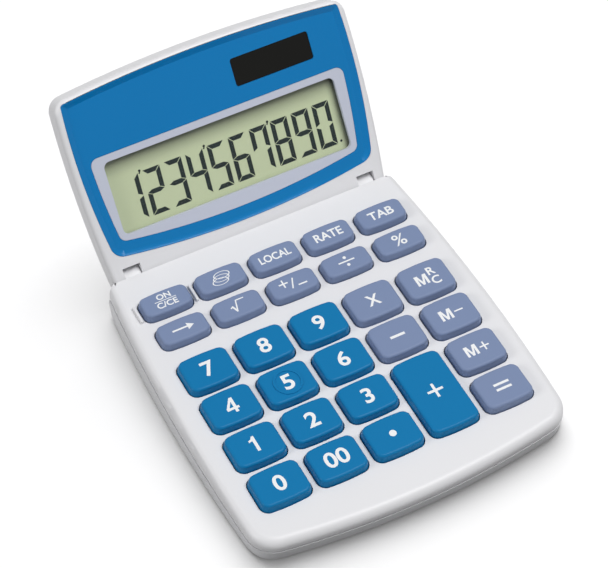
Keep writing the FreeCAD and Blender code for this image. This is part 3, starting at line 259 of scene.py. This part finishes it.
foot_rubber = moulded("foot rubber", FOOT_BLACK, roughness=0.75, grain_scale=1500.0, grain_depth=0.15)
plated_steel = plated("plated steel", SCREW_STEEL, roughness=0.28)
for feet in ("front_feet", "rear_feet"):
    paint(feet, foot_rubber)
for screw in ("case_screws", "head_screws", "battery_door_screw"):
    paint(screw, plated_steel)

# Battery. A screwed door under the base carries one button cell, and two sprung brass strips reach
# down to it from the main board.
CELL_STEEL = (0.62, 0.62, 0.60)
CONTACT_BRASS = (0.62, 0.48, 0.22)
dress("battery_door", shell_white)
paint("battery_cell", plated("cell can steel", CELL_STEEL, roughness=0.22))
contact_brass = plated("contact brass", CONTACT_BRASS, roughness=0.32)
for contact in ("battery_contact_end", "battery_contact_side"):
    paint(contact, contact_brass)

# Boards. Green laminate with a resin-covered controller under the main one, and a rubber strip that
# joins the smaller one to the display.
BOARD_GREEN = (0.02, 0.12, 0.05)
RESIN_BLACK = (0.012, 0.012, 0.013)
CONNECTOR_GREY = (0.25, 0.20, 0.22)
board_green = moulded("board laminate", BOARD_GREEN, roughness=0.35, grain_scale=400.0, tone_spread=0.3)
for board in ("main_circuit_board", "display_circuit_board"):
    paint(board, board_green)
paint("controller_cover", moulded("cast resin", RESIN_BLACK, roughness=0.3, grain_scale=600.0))
paint("lcd_connector_strip", moulded("connector rubber", CONNECTOR_GREY, roughness=0.7, tone_spread=0.2))

# Rubber mat. A grey sheet of silicone rubber lies on the main board, with a dome under each key that
# pushes the key back up.
MAT_GREY = (0.42, 0.42, 0.44)
MAT_SHEET = 0.6 * MM
DOME_FOOT = 2.8 * MM
DOME_TIP = 1.9 * MM
DOME_SIDES = 20


def middle(node, direction):
    """The place halfway between a node's ends along a direction."""
    low, high = reach(node, direction)
    return (low + high) / 2


def stand(across, along, out, x, y, z):
    """The matrix that stands a flat drawing at a place on a sloping face."""
    turn = Matrix((across, along, out)).transposed().to_4x4()
    return turn @ Matrix.Translation((x, y, z))


mat_rubber = moulded("mat rubber", MAT_GREY, roughness=0.7, grain_scale=1800.0, grain_depth=0.1)
mat_low, mat_high = reach("keypad_mat", UP)
mat_top = mat_low + MAT_SHEET
mesh = bpy.data.meshes.new("mat_sheet")
work = bmesh.new()
bmesh.ops.create_cube(work, size=1.0)
mat_size = [high - low for low, high in (reach("keypad_mat", RIGHT), reach("keypad_mat", ALONG))]
bmesh.ops.scale(work, vec=(*mat_size, MAT_SHEET), verts=work.verts)
mat_place = (middle("keypad_mat", RIGHT), middle("keypad_mat", ALONG), mat_low + MAT_SHEET / 2)
bmesh.ops.transform(work, matrix=stand(RIGHT, ALONG, UP, *mat_place), verts=work.verts)
work.to_mesh(mesh)
work.free()
mat_sheet = settle(bpy.data.objects.new("mat_sheet", mesh), "keypad_mat", mat_rubber)
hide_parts("keypad_mat")
dome_tall = mat_high - mat_top
for key, joint in KEY_JOINTS.items():
    mesh = bpy.data.meshes.new("dome_" + key)
    work = bmesh.new()
    bmesh.ops.create_cone(
        work, cap_ends=True, segments=DOME_SIDES, radius1=DOME_FOOT, radius2=DOME_TIP, depth=dome_tall
    )
    spot = (middle(key, RIGHT), middle(key, ALONG), mat_top + dome_tall / 2)
    bmesh.ops.transform(work, matrix=stand(RIGHT, ALONG, UP, *spot), verts=work.verts)
    work.to_mesh(mesh)
    work.free()
    dome = settle(bpy.data.objects.new("dome_" + key, mesh), "keypad_mat", mat_rubber)
    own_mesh(dome)

# Keys. Separate caps moulded in two colours, blue for the numbers and grey-blue for the rest, each with
# a flange under the cover. The plastic is smoother than the shell's, with a soft gloss.
KEY_BLUE = (0.005, 0.182, 0.420)
KEY_GREY = (0.205, 0.265, 0.425)
KEY_SHEEN = 0.12
key_blue = moulded("blue key plastic", KEY_BLUE, roughness=0.34, grain_scale=3200.0, sheen=KEY_SHEEN)
key_grey = moulded("grey key plastic", KEY_GREY, roughness=0.36, grain_scale=3200.0, sheen=KEY_SHEEN)
for key in KEY_JOINTS:
    dress(key, key_blue if slot_of(key) == "blue_key_plastic" else key_grey)

# On key guards. Two low ribs stand on the cover, one on each side of the on key, so that it isn't
# pressed by mistake. They are moulded with the cover, in the same white plastic.
GUARD_SIZE = (1.1 * MM, 6.6 * MM, 1.8 * MM)
GUARD_SUNK = 0.6 * MM
GUARD_ROUND = 0.45 * MM
GUARD_STEPS = 3
GUARD_OFF = 0.5 * MM
guard_out = reach("base_top_cover", UP)[1] + GUARD_SIZE[2] / 2 - GUARD_SUNK
on_key_left, on_key_right = reach("key_on_clear", RIGHT)
for side, across in (("left", on_key_left - GUARD_OFF), ("right", on_key_right + GUARD_OFF)):
    mesh = bpy.data.meshes.new("on_key_guard_" + side)
    work = bmesh.new()
    bmesh.ops.create_cube(work, size=1.0)
    bmesh.ops.scale(work, vec=GUARD_SIZE, verts=work.verts)
    bmesh.ops.bevel(
        work,
        geom=work.edges[:],
        offset=GUARD_ROUND,
        segments=GUARD_STEPS,
        profile=0.5,
        affect="EDGES",
        material=-1,
    )
    spot = (across, middle("key_on_clear", ALONG), guard_out)
    bmesh.ops.transform(work, matrix=stand(RIGHT, ALONG, UP, *spot), verts=work.verts)
    work.to_mesh(mesh)
    work.free()
    mesh.shade_smooth()
    settle(bpy.data.objects.new("on_key_guard_" + side, mesh), "base_top_cover", shell_white)

# Key markings. White ink printed on the tops of the caps: figures, signs and plain words in a bold
# sans letter, a thin film that stands a hair above the plastic. They are drawn in millimetres, from the
# middle of each cap.
INK_WHITE = (0.86, 0.87, 0.88)
INK_FILM = 0.03 * MM
INK_SINK = 0.01 * MM
DOT_SIDES = 20
COIN_LINE = 0.35
COIN_FLAT = 0.5
COIN_STEPS = 32
KEY_FIGURE = 5.5
KEY_WORD = 3.2
WORD_DEEP = 0.5
FINGER_RING = 0.25 * MM


def drawn_text(words, tall, x, y, widen=1.08, weight=0.022):
    """Words as a closed mesh of a given height, centred at a place."""
    curve = bpy.data.curves.new("words", "FONT")
    curve.body = words
    curve.offset = weight
    curve.extrude = WORD_DEEP
    holder = bpy.data.objects.new("words", curve)
    bpy.context.scene.collection.objects.link(holder)
    bpy.context.view_layer.update()
    evaluated = holder.evaluated_get(bpy.context.evaluated_depsgraph_get())
    mesh = bpy.data.meshes.new_from_object(evaluated)
    bpy.data.objects.remove(holder)
    low = Vector([min(v.co[i] for v in mesh.vertices) for i in range(3)])
    high = Vector([max(v.co[i] for v in mesh.vertices) for i in range(3)])
    size = tall * MM / (high.y - low.y)
    mesh.transform(Matrix.Translation(-(low + high) / 2))
    mesh.transform(Matrix.Diagonal((size * widen, size, INK_FILM / (high.z - low.z), 1.0)))
    mesh.transform(Matrix.Translation((x * MM, y * MM, 0)))
    return mesh


def stroke(work, start, end, wide):
    """A straight printed stroke between two points."""
    start, end = Vector((*start, 0)) * MM, Vector((*end, 0)) * MM
    made = bmesh.ops.create_cube(work, size=1.0)["verts"]
    bmesh.ops.scale(work, vec=((end - start).length, wide * MM, INK_FILM), verts=made)
    turn = Matrix.Rotation(math.atan2(end.y - start.y, end.x - start.x), 4, "Z")
    bmesh.ops.transform(work, matrix=Matrix.Translation((start + end) / 2) @ turn, verts=made)


def dot(work, x, y, radius, sides=DOT_SIDES):
    """A printed dot, round or with a few sides, the first corner of which points right."""
    made = bmesh.ops.create_cone(
        work, cap_ends=True, segments=sides, radius1=radius * MM, radius2=radius * MM, depth=INK_FILM
    )["verts"]
    first = max(made, key=lambda v: v.co.y).co
    bmesh.ops.rotate(work, matrix=Matrix.Rotation(-math.atan2(first.y, first.x), 3, "Z"), verts=made)
    bmesh.ops.translate(work, vec=(x * MM, y * MM, 0), verts=made)


def coin(x, y, radius, lift):
    """A printed ring, flattened to an oval, as a closed mesh."""
    work = bmesh.new()
    bmesh.ops.create_grid(work, x_segments=1, y_segments=1, size=0.5)
    bmesh.ops.delete(work, geom=work.faces[:], context="FACES_ONLY")
    bmesh.ops.rotate(work, matrix=Matrix.Rotation(math.pi / 2, 3, "X"), verts=work.verts)
    bmesh.ops.scale(work, vec=(COIN_LINE * MM, 1, INK_FILM), verts=work.verts)
    bmesh.ops.translate(work, vec=(radius * MM, 0, 0), verts=work.verts)
    bmesh.ops.spin(
        work,
        geom=work.verts[:] + work.edges[:],
        axis=(0, 0, 1),
        cent=(0, 0, 0),
        steps=COIN_STEPS,
        angle=2 * math.pi,
        use_merge=True,
    )
    bmesh.ops.scale(work, vec=(1, COIN_FLAT, 1), verts=work.verts)
    bmesh.ops.translate(work, vec=(x * MM, y * MM, lift * MM), verts=work.verts)
    mesh = bpy.data.meshes.new("coin")
    work.to_mesh(mesh)
    work.free()
    return mesh


def print_film(work, corners):
    """A flat shape with the given corners, as thick as the ink."""
    under = -INK_FILM / 2
    face = work.faces.new([work.verts.new((point[0] * MM, point[1] * MM, under)) for point in corners])
    film = bmesh.ops.extrude_face_region(work, geom=[face])["geom"]
    lifted = [v for v in film if isinstance(v, bmesh.types.BMVert)]
    bmesh.ops.translate(work, vec=(0, 0, INK_FILM), verts=lifted)


def memory_letter(x, y):
    """The corners of a broad letter M, centred at a place."""
    half = [(-0.35, -1.95), (-1.2, 0.7), (-1.2, -1.95), (-2.05, -1.95), (-2.05, 1.95), (-0.9, 1.95)]
    mirrored = [(-across, up) for across, up in reversed(half)]
    return [(x + across, y + up) for across, up in half + [(0, -0.75)] + mirrored]


def plus_sign(x, y, arm, wide):
    """The strokes of a plus, which meet without lying on each other."""
    half = wide / 2
    upright = [((x, y + half), (x, y + arm), wide), ((x, y - arm), (x, y - half), wide)]
    return [((x - arm, y), (x + arm, y), wide)] + upright


# Words, height and place, then how far they are widened and how bold they are.
LEGENDS = {"key_" + figure: [(figure, KEY_FIGURE, 0, 0)] for figure in "02356789"}
LEGENDS |= {
    "key_00": [("00", KEY_FIGURE, 0, 0)],
    "key_multiply": [("X", 4.1, 0, 0, 0.95)],
    "key_memory_recall": [("R", 3.0, 2.5, 1.9), ("C", 3.1, 2.5, -1.9)],
    "key_percent": [("%", 4.4, 0, 0, 1.08, 0.008)],
    "key_on_clear": [("ON", 2.1, 0, 1.75), ("C/CE", 2.2, 0, -1.4)],
    "key_local": [("LOCAL", 2.9, 0, 0, 0.88)],
    "key_rate": [("RATE", KEY_WORD, 0, 0, 0.96)],
    "key_tab": [("TAB", KEY_WORD, 0, 0)],
}
# Start, end and width of straight strokes.
STROKES = {
    "key_minus": [((-2.5, 0), (2.5, 0), 0.9)],
    "key_plus": plus_sign(0, 0, 2.6, 0.85),
    "key_equals": [((-2.6, 0.95), (2.6, 0.95), 0.85), ((-2.6, -0.95), (2.6, -0.95), 0.85)],
    "key_memory_minus": [((1.1, 0), (4.1, 0), 0.5)],
    "key_memory_plus": plus_sign(2.7, 0, 1.6, 0.5),
    "key_divide": [((-2.8, 0), (2.8, 0), 0.5)],
    "key_sign": [
        *plus_sign(-2.9, 0.9, 1.55, 0.5),
        ((-0.9, -1.9), (0.7, 1.9), 0.45),
        ((1.3, -1.4), (4.3, -1.4), 0.5),
    ],
    "key_shift": [((-3.6, 0), (1.45, 0), 0.6)],
    "key_on_clear": [((-3.6, 0.2), (3.6, 0.2), 0.25)],
}
# Place and radius of dots, and the three sides of the arrow's head.
DOTS = {
    "key_point": [(0, 0, 1.15)],
    "key_divide": [(0, 1.5, 0.55), (0, -1.5, 0.55)],
    "key_shift": [(2.2, 0, 1.5, 3)],
}
# Corners of shapes that are neither words nor strokes.
OUTLINES = {
    "key_memory_recall": [memory_letter(-1.7, -0.2)],
    "key_memory_minus": [memory_letter(-1.8, 0)],
    "key_memory_plus": [memory_letter(-1.8, 0)],
    "key_1": [[
        (-0.4, -2.75), (0.6, -2.75), (0.6, 2.75), (-0.15, 2.75), (-0.6, 1.95), (-1.55, 1.6), (-1.55, 0.9),
        (-0.4, 1.2),
    ]],
    "key_4": [
        [(0.3, -2.75), (1.25, -2.75), (1.25, 2.75), (0.3, 2.75)],
        [(-2.0, -1.6), (0.3, -1.6), (0.3, -0.75), (-2.0, -0.75)],
        [(1.25, -1.6), (2.0, -1.6), (2.0, -0.75), (1.25, -0.75)],
        [(-2.0, -0.75), (-1.05, -0.75), (0.3, 1.35), (0.3, 2.75)],
    ],
    "key_root": [[
        (-2.75, -0.1), (-2.6, -0.45), (-2.1, -0.2), (-1.4, -2.1), (-0.95, -2.1), (0.15, 1.9), (2.7, 1.9),
        (2.7, 2.3), (-0.15, 2.3), (-1.15, -1.1), (-1.75, 0.5),
    ]],
}
# Place and radius of coins, and how far each is lifted over the one before.
COINS = {"key_money": [(-0.6, -1.3, 2.6, 0), (0.1, -0.2, 2.6, 0.004), (0.7, 0.9, 2.6, 0.008)]}
key_ink = moulded("white key ink", INK_WHITE, roughness=0.5, grain_scale=5000.0, grain_depth=0.05)
for key in KEY_JOINTS:
    mesh = bpy.data.meshes.new("ink_" + key)
    work = bmesh.new()
    for legend in LEGENDS.get(key, []):
        work.from_mesh(drawn_text(*legend))
    for line in STROKES.get(key, []):
        stroke(work, *line)
    for point in DOTS.get(key, []):
        dot(work, *point)
    for corners in OUTLINES.get(key, []):
        print_film(work, corners)
    for ring in COINS.get(key, []):
        work.from_mesh(coin(*ring))
    top = reach(key, UP)[1]
    if key == "key_5":
        top -= FINGER_RING
    spot = (middle(key, RIGHT), middle(key, ALONG), top + INK_FILM / 2 - INK_SINK)
    bmesh.ops.transform(work, matrix=stand(RIGHT, ALONG, UP, *spot), verts=work.verts)
    bmesh.ops.recalc_face_normals(work, faces=work.faces)
    work.to_mesh(mesh)
    work.free()
    settle(bpy.data.objects.new("ink_" + key, mesh), key, key_ink)

# Display head. Two white shells clamp the plated hinge pins between them. A blue bezel with a shallow
# dish fills the front, glossier than the shell, and a grey surround in it frames the display.
BEZEL_BLUE = (0.002, 0.196, 0.500)
BEZEL_COAT = 0.15
BEZEL_COAT_ROUGHNESS = 0.06
DISH_EDGE = math.radians(12)
SURROUND_GREY = (0.56, 0.59, 0.69)
dress("head_front_shell", shell_white)
dress("head_rear_shell", shell_white)
bezel_blue = moulded("blue bezel plastic", BEZEL_BLUE, roughness=0.30, grain_depth=0.01, sheen=0.1)
bezel_shader = bezel_blue.node_tree.nodes["Principled BSDF"]
bezel_shader.inputs["Coat Weight"].default_value = BEZEL_COAT
bezel_shader.inputs["Coat Roughness"].default_value = BEZEL_COAT_ROUGHNESS
dress("display_bezel", bezel_blue, crease=DISH_EDGE)
dress("lcd_surround", moulded("grey surround plastic", SURROUND_GREY, roughness=0.42, tone_spread=0.03))
for pin in ("hinge_pin_left", "hinge_pin_right"):
    paint(pin, plated_steel)

# Solar cell. A plate of dark amorphous silicon under clear glass, which sits in an opening of the bezel,
# a little below the floor of the dish.
SOLAR_BLACK = (0.005, 0.005, 0.004)
solar_dark = moulded(
    "solar cell glass", SOLAR_BLACK, roughness=0.15, grain_scale=700.0, tone_spread=0.4, sheen=0.12
)
dress("solar_cell", solar_dark)

# Liquid crystal display. A matte olive polariser with ten figures of dark segments, marks at the
# thousands and an end point, all in a thin film on the panel. The polariser's colour carries a painted
# shade, darker towards its top and right edges, where the frame round it would cast shadow. Places and
# sizes of the figures are in millimetres from the hinge.
PANEL_OLIVE = (0.56, 0.63, 0.40)
SEGMENT_DARK = (0.005, 0.014, 0.013)
HEAD_JOINT = next(joint for joint in frame["joints"] if joint["name"] == "display_tilt")
HINGE = Vector(HEAD_JOINT["pos_m"])
LEAN = math.radians(56.2)
FACE_UP = Vector((0, math.cos(LEAN), math.sin(LEAN)))
FACE_OUT = Vector((0, -math.sin(LEAN), math.cos(LEAN)))
# How far the painted shade reaches in from the window's top and right edges, and how dark it gets.
PAINTED_SHADE_REACH = ((FACE_UP, 8.0 * MM), (RIGHT, 4.0 * MM))
PAINTED_SHADE_DARKEST = 0.20
FIGURES = "1234567890"
THOUSANDS = "147"
LIT = {
    "0": "abcdef",
    "1": "bc",
    "2": "abged",
    "3": "abgcd",
    "4": "fgbc",
    "5": "afgcd",
    "6": "afgedc",
    "7": "fabc",
    "8": "abcdefg",
    "9": "abcdfg",
}
FIGURE_WIDE = 5.95
FIGURE_TALL = 14.9
FIGURE_STEP = 7.47
LAST_RIGHT = 36.3
FIGURE_FOOT = 17.0
BAR = 1.5
BAR_GAP = 0.15
SLANT = 0.03
POINT_RADIUS = 0.42
POINT_PLACE = (1.3, 0.6)
MARK_PLACE = (0.75, 0.35)
MARK_TAIL = ((0.9, 0.3), (0.45, -0.6))
MARK_WIDE = 0.45


def segment(work, start, end, side, first_cut, last_cut):
    """A bar between two corners of a figure. Its outer edge runs from corner to corner, and its inner
    edge, on the given side, is cut back at each end."""
    a, b, side = (Vector((*point, 0)) for point in (start, end, side))
    run = (b - a).normalized()
    a, b = a + run * BAR_GAP, b - run * BAR_GAP
    print_film(work, [a, b, b - run * last_cut + side * BAR, a + run * first_cut + side * BAR])


def middle_segment(work, left, right, y):
    """The bar across the middle of a figure, pointed at both ends."""
    half = BAR / 2
    left, right = left + BAR_GAP, right - BAR_GAP
    corners = [(left, y), (left + BAR, y - half), (right - BAR, y - half)]
    corners += [(right, y), (right - BAR, y + half), (left + BAR, y + half)]
    print_film(work, corners)


polariser = moulded("display polariser", PANEL_OLIVE, roughness=0.5, grain_scale=2000.0, grain_depth=0.03)
nodes, links = polariser.node_tree.nodes, polariser.node_tree.links
shader = nodes["Principled BSDF"]
colour = shader.inputs["Base Color"].links[0].from_socket
# Painted shade: the polariser's colour darkens smoothly towards the window's top and right edges.
place = nodes.new("ShaderNodeTexCoord")
for direction, deep in PAINTED_SHADE_REACH:
    edge = reach("display_window", direction)[1]
    along = nodes.new("ShaderNodeVectorMath")
    along.operation = "DOT_PRODUCT"
    along.inputs[1].default_value = direction
    links.new(place.outputs["Object"], along.inputs[0])
    fade = nodes.new("ShaderNodeMapRange")
    fade.interpolation_type = "SMOOTHSTEP"
    fade.inputs["From Min"].default_value = edge - deep
    fade.inputs["From Max"].default_value = edge
    fade.inputs["To Min"].default_value = 1.0
    fade.inputs["To Max"].default_value = PAINTED_SHADE_DARKEST
    links.new(along.outputs["Value"], fade.inputs["Value"])
    shade = nodes.new("ShaderNodeHueSaturation")
    links.new(colour, shade.inputs["Color"])
    links.new(fade.outputs["Result"], shade.inputs["Value"])
    colour = shade.outputs["Color"]
links.new(colour, shader.inputs["Base Color"])
paint("lcd_panel", polariser)

segment_dark = moulded("display segment", SEGMENT_DARK, roughness=0.45, grain_scale=2000.0, sheen=0.15)
mesh = bpy.data.meshes.new("lcd_figures")
work = bmesh.new()
low = FIGURE_FOOT
high = FIGURE_FOOT + FIGURE_TALL
mid = (low + high) / 2
waist = BAR / 2
for order, figure in enumerate(FIGURES):
    right = LAST_RIGHT - FIGURE_STEP * (len(FIGURES) - 1 - order)
    left = right - FIGURE_WIDE
    bars = {
        "a": ((left, high), (right, high), (0, -1), BAR, BAR),
        "b": ((right, mid), (right, high), (-1, 0), waist, BAR),
        "c": ((right, low), (right, mid), (-1, 0), BAR, waist),
        "d": ((left, low), (right, low), (0, 1), BAR, BAR),
        "e": ((left, low), (left, mid), (1, 0), BAR, waist),
        "f": ((left, mid), (left, high), (1, 0), waist, BAR),
    }
    for bar in LIT[figure]:
        if bar in bars:
            segment(work, *bars[bar])
        else:
            middle_segment(work, left, right, mid)
    if figure in THOUSANDS:
        dot(work, right + MARK_PLACE[0], high + MARK_PLACE[1], POINT_RADIUS)
        tail = [(right + across, high + up) for across, up in MARK_TAIL]
        stroke(work, *tail, MARK_WIDE)
dot(work, LAST_RIGHT + POINT_PLACE[0], FIGURE_FOOT + POINT_PLACE[1], POINT_RADIUS)
lean_over = Matrix.Identity(4)
lean_over[0][1] = SLANT
bmesh.ops.transform(work, matrix=lean_over, verts=work.verts)
panel_front = reach("lcd_panel", FACE_OUT)[1]
spot = (0, HINGE.dot(FACE_UP), panel_front + INK_FILM / 2)
bmesh.ops.transform(work, matrix=stand(RIGHT, FACE_UP, FACE_OUT, *spot), verts=work.verts)
bmesh.ops.recalc_face_normals(work, faces=work.faces)
work.to_mesh(mesh)
work.free()
settle(bpy.data.objects.new("lcd_figures", mesh), "lcd_panel", segment_dark)

# Display window. A clear polished plate that guards the panel. It rests in a ledge behind the surround
# and hardly shows.
WINDOW_CLEAR = (0.9, 0.92, 0.92)
WINDOW_ALPHA = 0.012
clear_window = moulded("clear window", WINDOW_CLEAR, roughness=0.06, grain_scale=300.0, grain_depth=0.0)
clear_window.node_tree.nodes["Principled BSDF"].inputs["Alpha"].default_value = WINDOW_ALPHA
paint("display_window", clear_window)

# Ribbon cable. A thin grey film with printed tracks joins the two boards through the hollow of the
# hinge.
RIBBON_GREY = (0.46, 0.46, 0.44)
RIBBON_CUTS = 3
ribbon_film = moulded("ribbon film", RIBBON_GREY, roughness=0.4, grain_scale=900.0, tone_spread=0.2)
mesh = frame["nodes"]["display_ribbon_cable"].data.copy()
work = bmesh.new()
work.from_mesh(mesh)
bmesh.ops.remove_doubles(work, verts=work.verts, dist=MERGE)
bmesh.ops.subdivide_edges(work, edges=work.edges, cuts=RIBBON_CUTS, use_grid_fill=True)
work.to_mesh(mesh)
work.free()
mesh.materials.clear()
mesh.materials.append(ribbon_film)
ribbon = bpy.data.objects.new("ribbon_cable", mesh)
bpy.context.scene.collection.objects.link(ribbon)
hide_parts("display_ribbon_cable")
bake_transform(ribbon)

# Table and light. A pale table that goes to white where it is fully lit, with a broad light of its own
# from behind that throws a soft shadow forward. Two round lamps light the calculator alone, and an even
# room light fills the rest.
FLOOR_SIZE = 6.0
FLOOR_GAP = 0.1 * MM
TABLE_ROUGHNESS = 0.9
TABLE_SHEEN = 0.1
TABLE_GLOW = 0.08
TABLE_SEEN = (0.90, 0.90, 0.905, 1.0)
TABLE_BOUNCE = (0.22, 0.22, 0.22, 1.0)
WHITE = (1.0, 1.0, 1.0, 1.0)
MIX_FACTOR = 0
MIX_DARK = 6
MIX_PALE = 7
MIX_RESULT = 2
ROOM_LIGHT = 0.26
# Kind, whether it leaves the table out, place, width or angle, and strength.
LAMPS = {
    "main lamp": ("AREA", "EXCLUDE", (0.35, -0.25, 1.05), 0.60, 8.2),
    "left lamp": ("AREA", "EXCLUDE", (-0.85, 0.00, 0.55), 0.35, 2.6),
    "table light": ("SUN", "INCLUDE", (0.38, 0.75, 1.00), math.radians(70), 3.4),
}


def background_rays(nodes, links):
    """The mask of the rays that see the white background: straight, mirrored or through glass."""
    path = nodes.new("ShaderNodeLightPath")
    seen = path.outputs["Is Camera Ray"]
    for name in ("Is Glossy Ray", "Is Transmission Ray"):
        either = nodes.new("ShaderNodeMath")
        either.operation = "MAXIMUM"
        links.new(seen, either.inputs[0])
        links.new(path.outputs[name], either.inputs[1])
        seen = either.outputs[0]
    return seen


table_pale = bpy.data.materials.new("pale table")
table_pale.use_nodes = True
nodes, links = table_pale.node_tree.nodes, table_pale.node_tree.links
shader = nodes["Principled BSDF"]
shader.inputs["Roughness"].default_value = TABLE_ROUGHNESS
shader.inputs["Specular IOR Level"].default_value = TABLE_SHEEN
shader.inputs["Emission Color"].default_value = WHITE
seen = background_rays(nodes, links)
glow = nodes.new("ShaderNodeMath")
glow.operation = "MULTIPLY"
glow.inputs[1].default_value = TABLE_GLOW
links.new(seen, glow.inputs[0])
links.new(glow.outputs[0], shader.inputs["Emission Strength"])
tone = nodes.new("ShaderNodeMix")
tone.data_type = "RGBA"
tone.inputs[MIX_DARK].default_value = TABLE_BOUNCE
tone.inputs[MIX_PALE].default_value = TABLE_SEEN
links.new(seen, tone.inputs[MIX_FACTOR])
links.new(tone.outputs[MIX_RESULT], shader.inputs["Base Color"])
mesh = bpy.data.meshes.new("table")
work = bmesh.new()
bmesh.ops.create_grid(work, x_segments=1, y_segments=1, size=FLOOR_SIZE)
bmesh.ops.translate(work, vec=(0, 0, -FLOOR_GAP), verts=work.verts)
work.to_mesh(mesh)
work.free()
mesh.materials.append(table_pale)
table = bpy.data.objects.new("table", mesh)
bpy.context.scene.collection.objects.link(table)

for name, (kind, table_link, place, wide, strength) in LAMPS.items():
    lamp = bpy.data.lights.new(name, kind)
    lamp.energy = strength
    if kind == "SUN":
        lamp.angle = wide
    else:
        lamp.shape = "DISK"
        lamp.size = wide
    holder = bpy.data.objects.new(name, lamp)
    holder.location = place
    holder.rotation_euler = Vector(place).to_track_quat("Z", "Y").to_euler()
    bpy.context.scene.collection.objects.link(holder)
    reached = bpy.data.collections.new(name + " and the table")
    reached.objects.link(table)
    reached.collection_objects[0].light_linking.link_state = table_link
    holder.light_linking.receiver_collection = reached

world = bpy.data.worlds.new("even room light")
world.use_nodes = True
bpy.context.scene.world = world
nodes, links = world.node_tree.nodes, world.node_tree.links
backdrop = nodes["Background"]
backdrop.inputs["Color"].default_value = WHITE
level = nodes.new("ShaderNodeMapRange")
level.inputs["To Min"].default_value = ROOM_LIGHT
level.inputs["To Max"].default_value = 1.0
links.new(background_rays(nodes, links), level.inputs["Value"])
links.new(level.outputs["Result"], backdrop.inputs["Strength"])

# Camera. It looks down from the left of the front edge through a long lens, as the calculator was
# photographed.
CAMERA_PLACE = (-0.22629, -0.42008, 0.58030)
CAMERA_TURN = (math.radians(40.6), 0.0, math.radians(-28.31))
CAMERA_SENSOR = 36.0
CAMERA_LENS = 141.8
CAMERA_CLIP = 0.01
camera = bpy.data.cameras.new("camera")
camera.sensor_width = CAMERA_SENSOR
camera.lens = CAMERA_LENS
camera.clip_start = CAMERA_CLIP
camera_object = bpy.data.objects.new("camera", camera)
camera_object.location = CAMERA_PLACE
camera_object.rotation_euler = CAMERA_TURN
bpy.context.scene.collection.objects.link(camera_object)
bpy.context.scene.camera = camera_object
bpy.context.scene.view_settings.view_transform = "Standard"
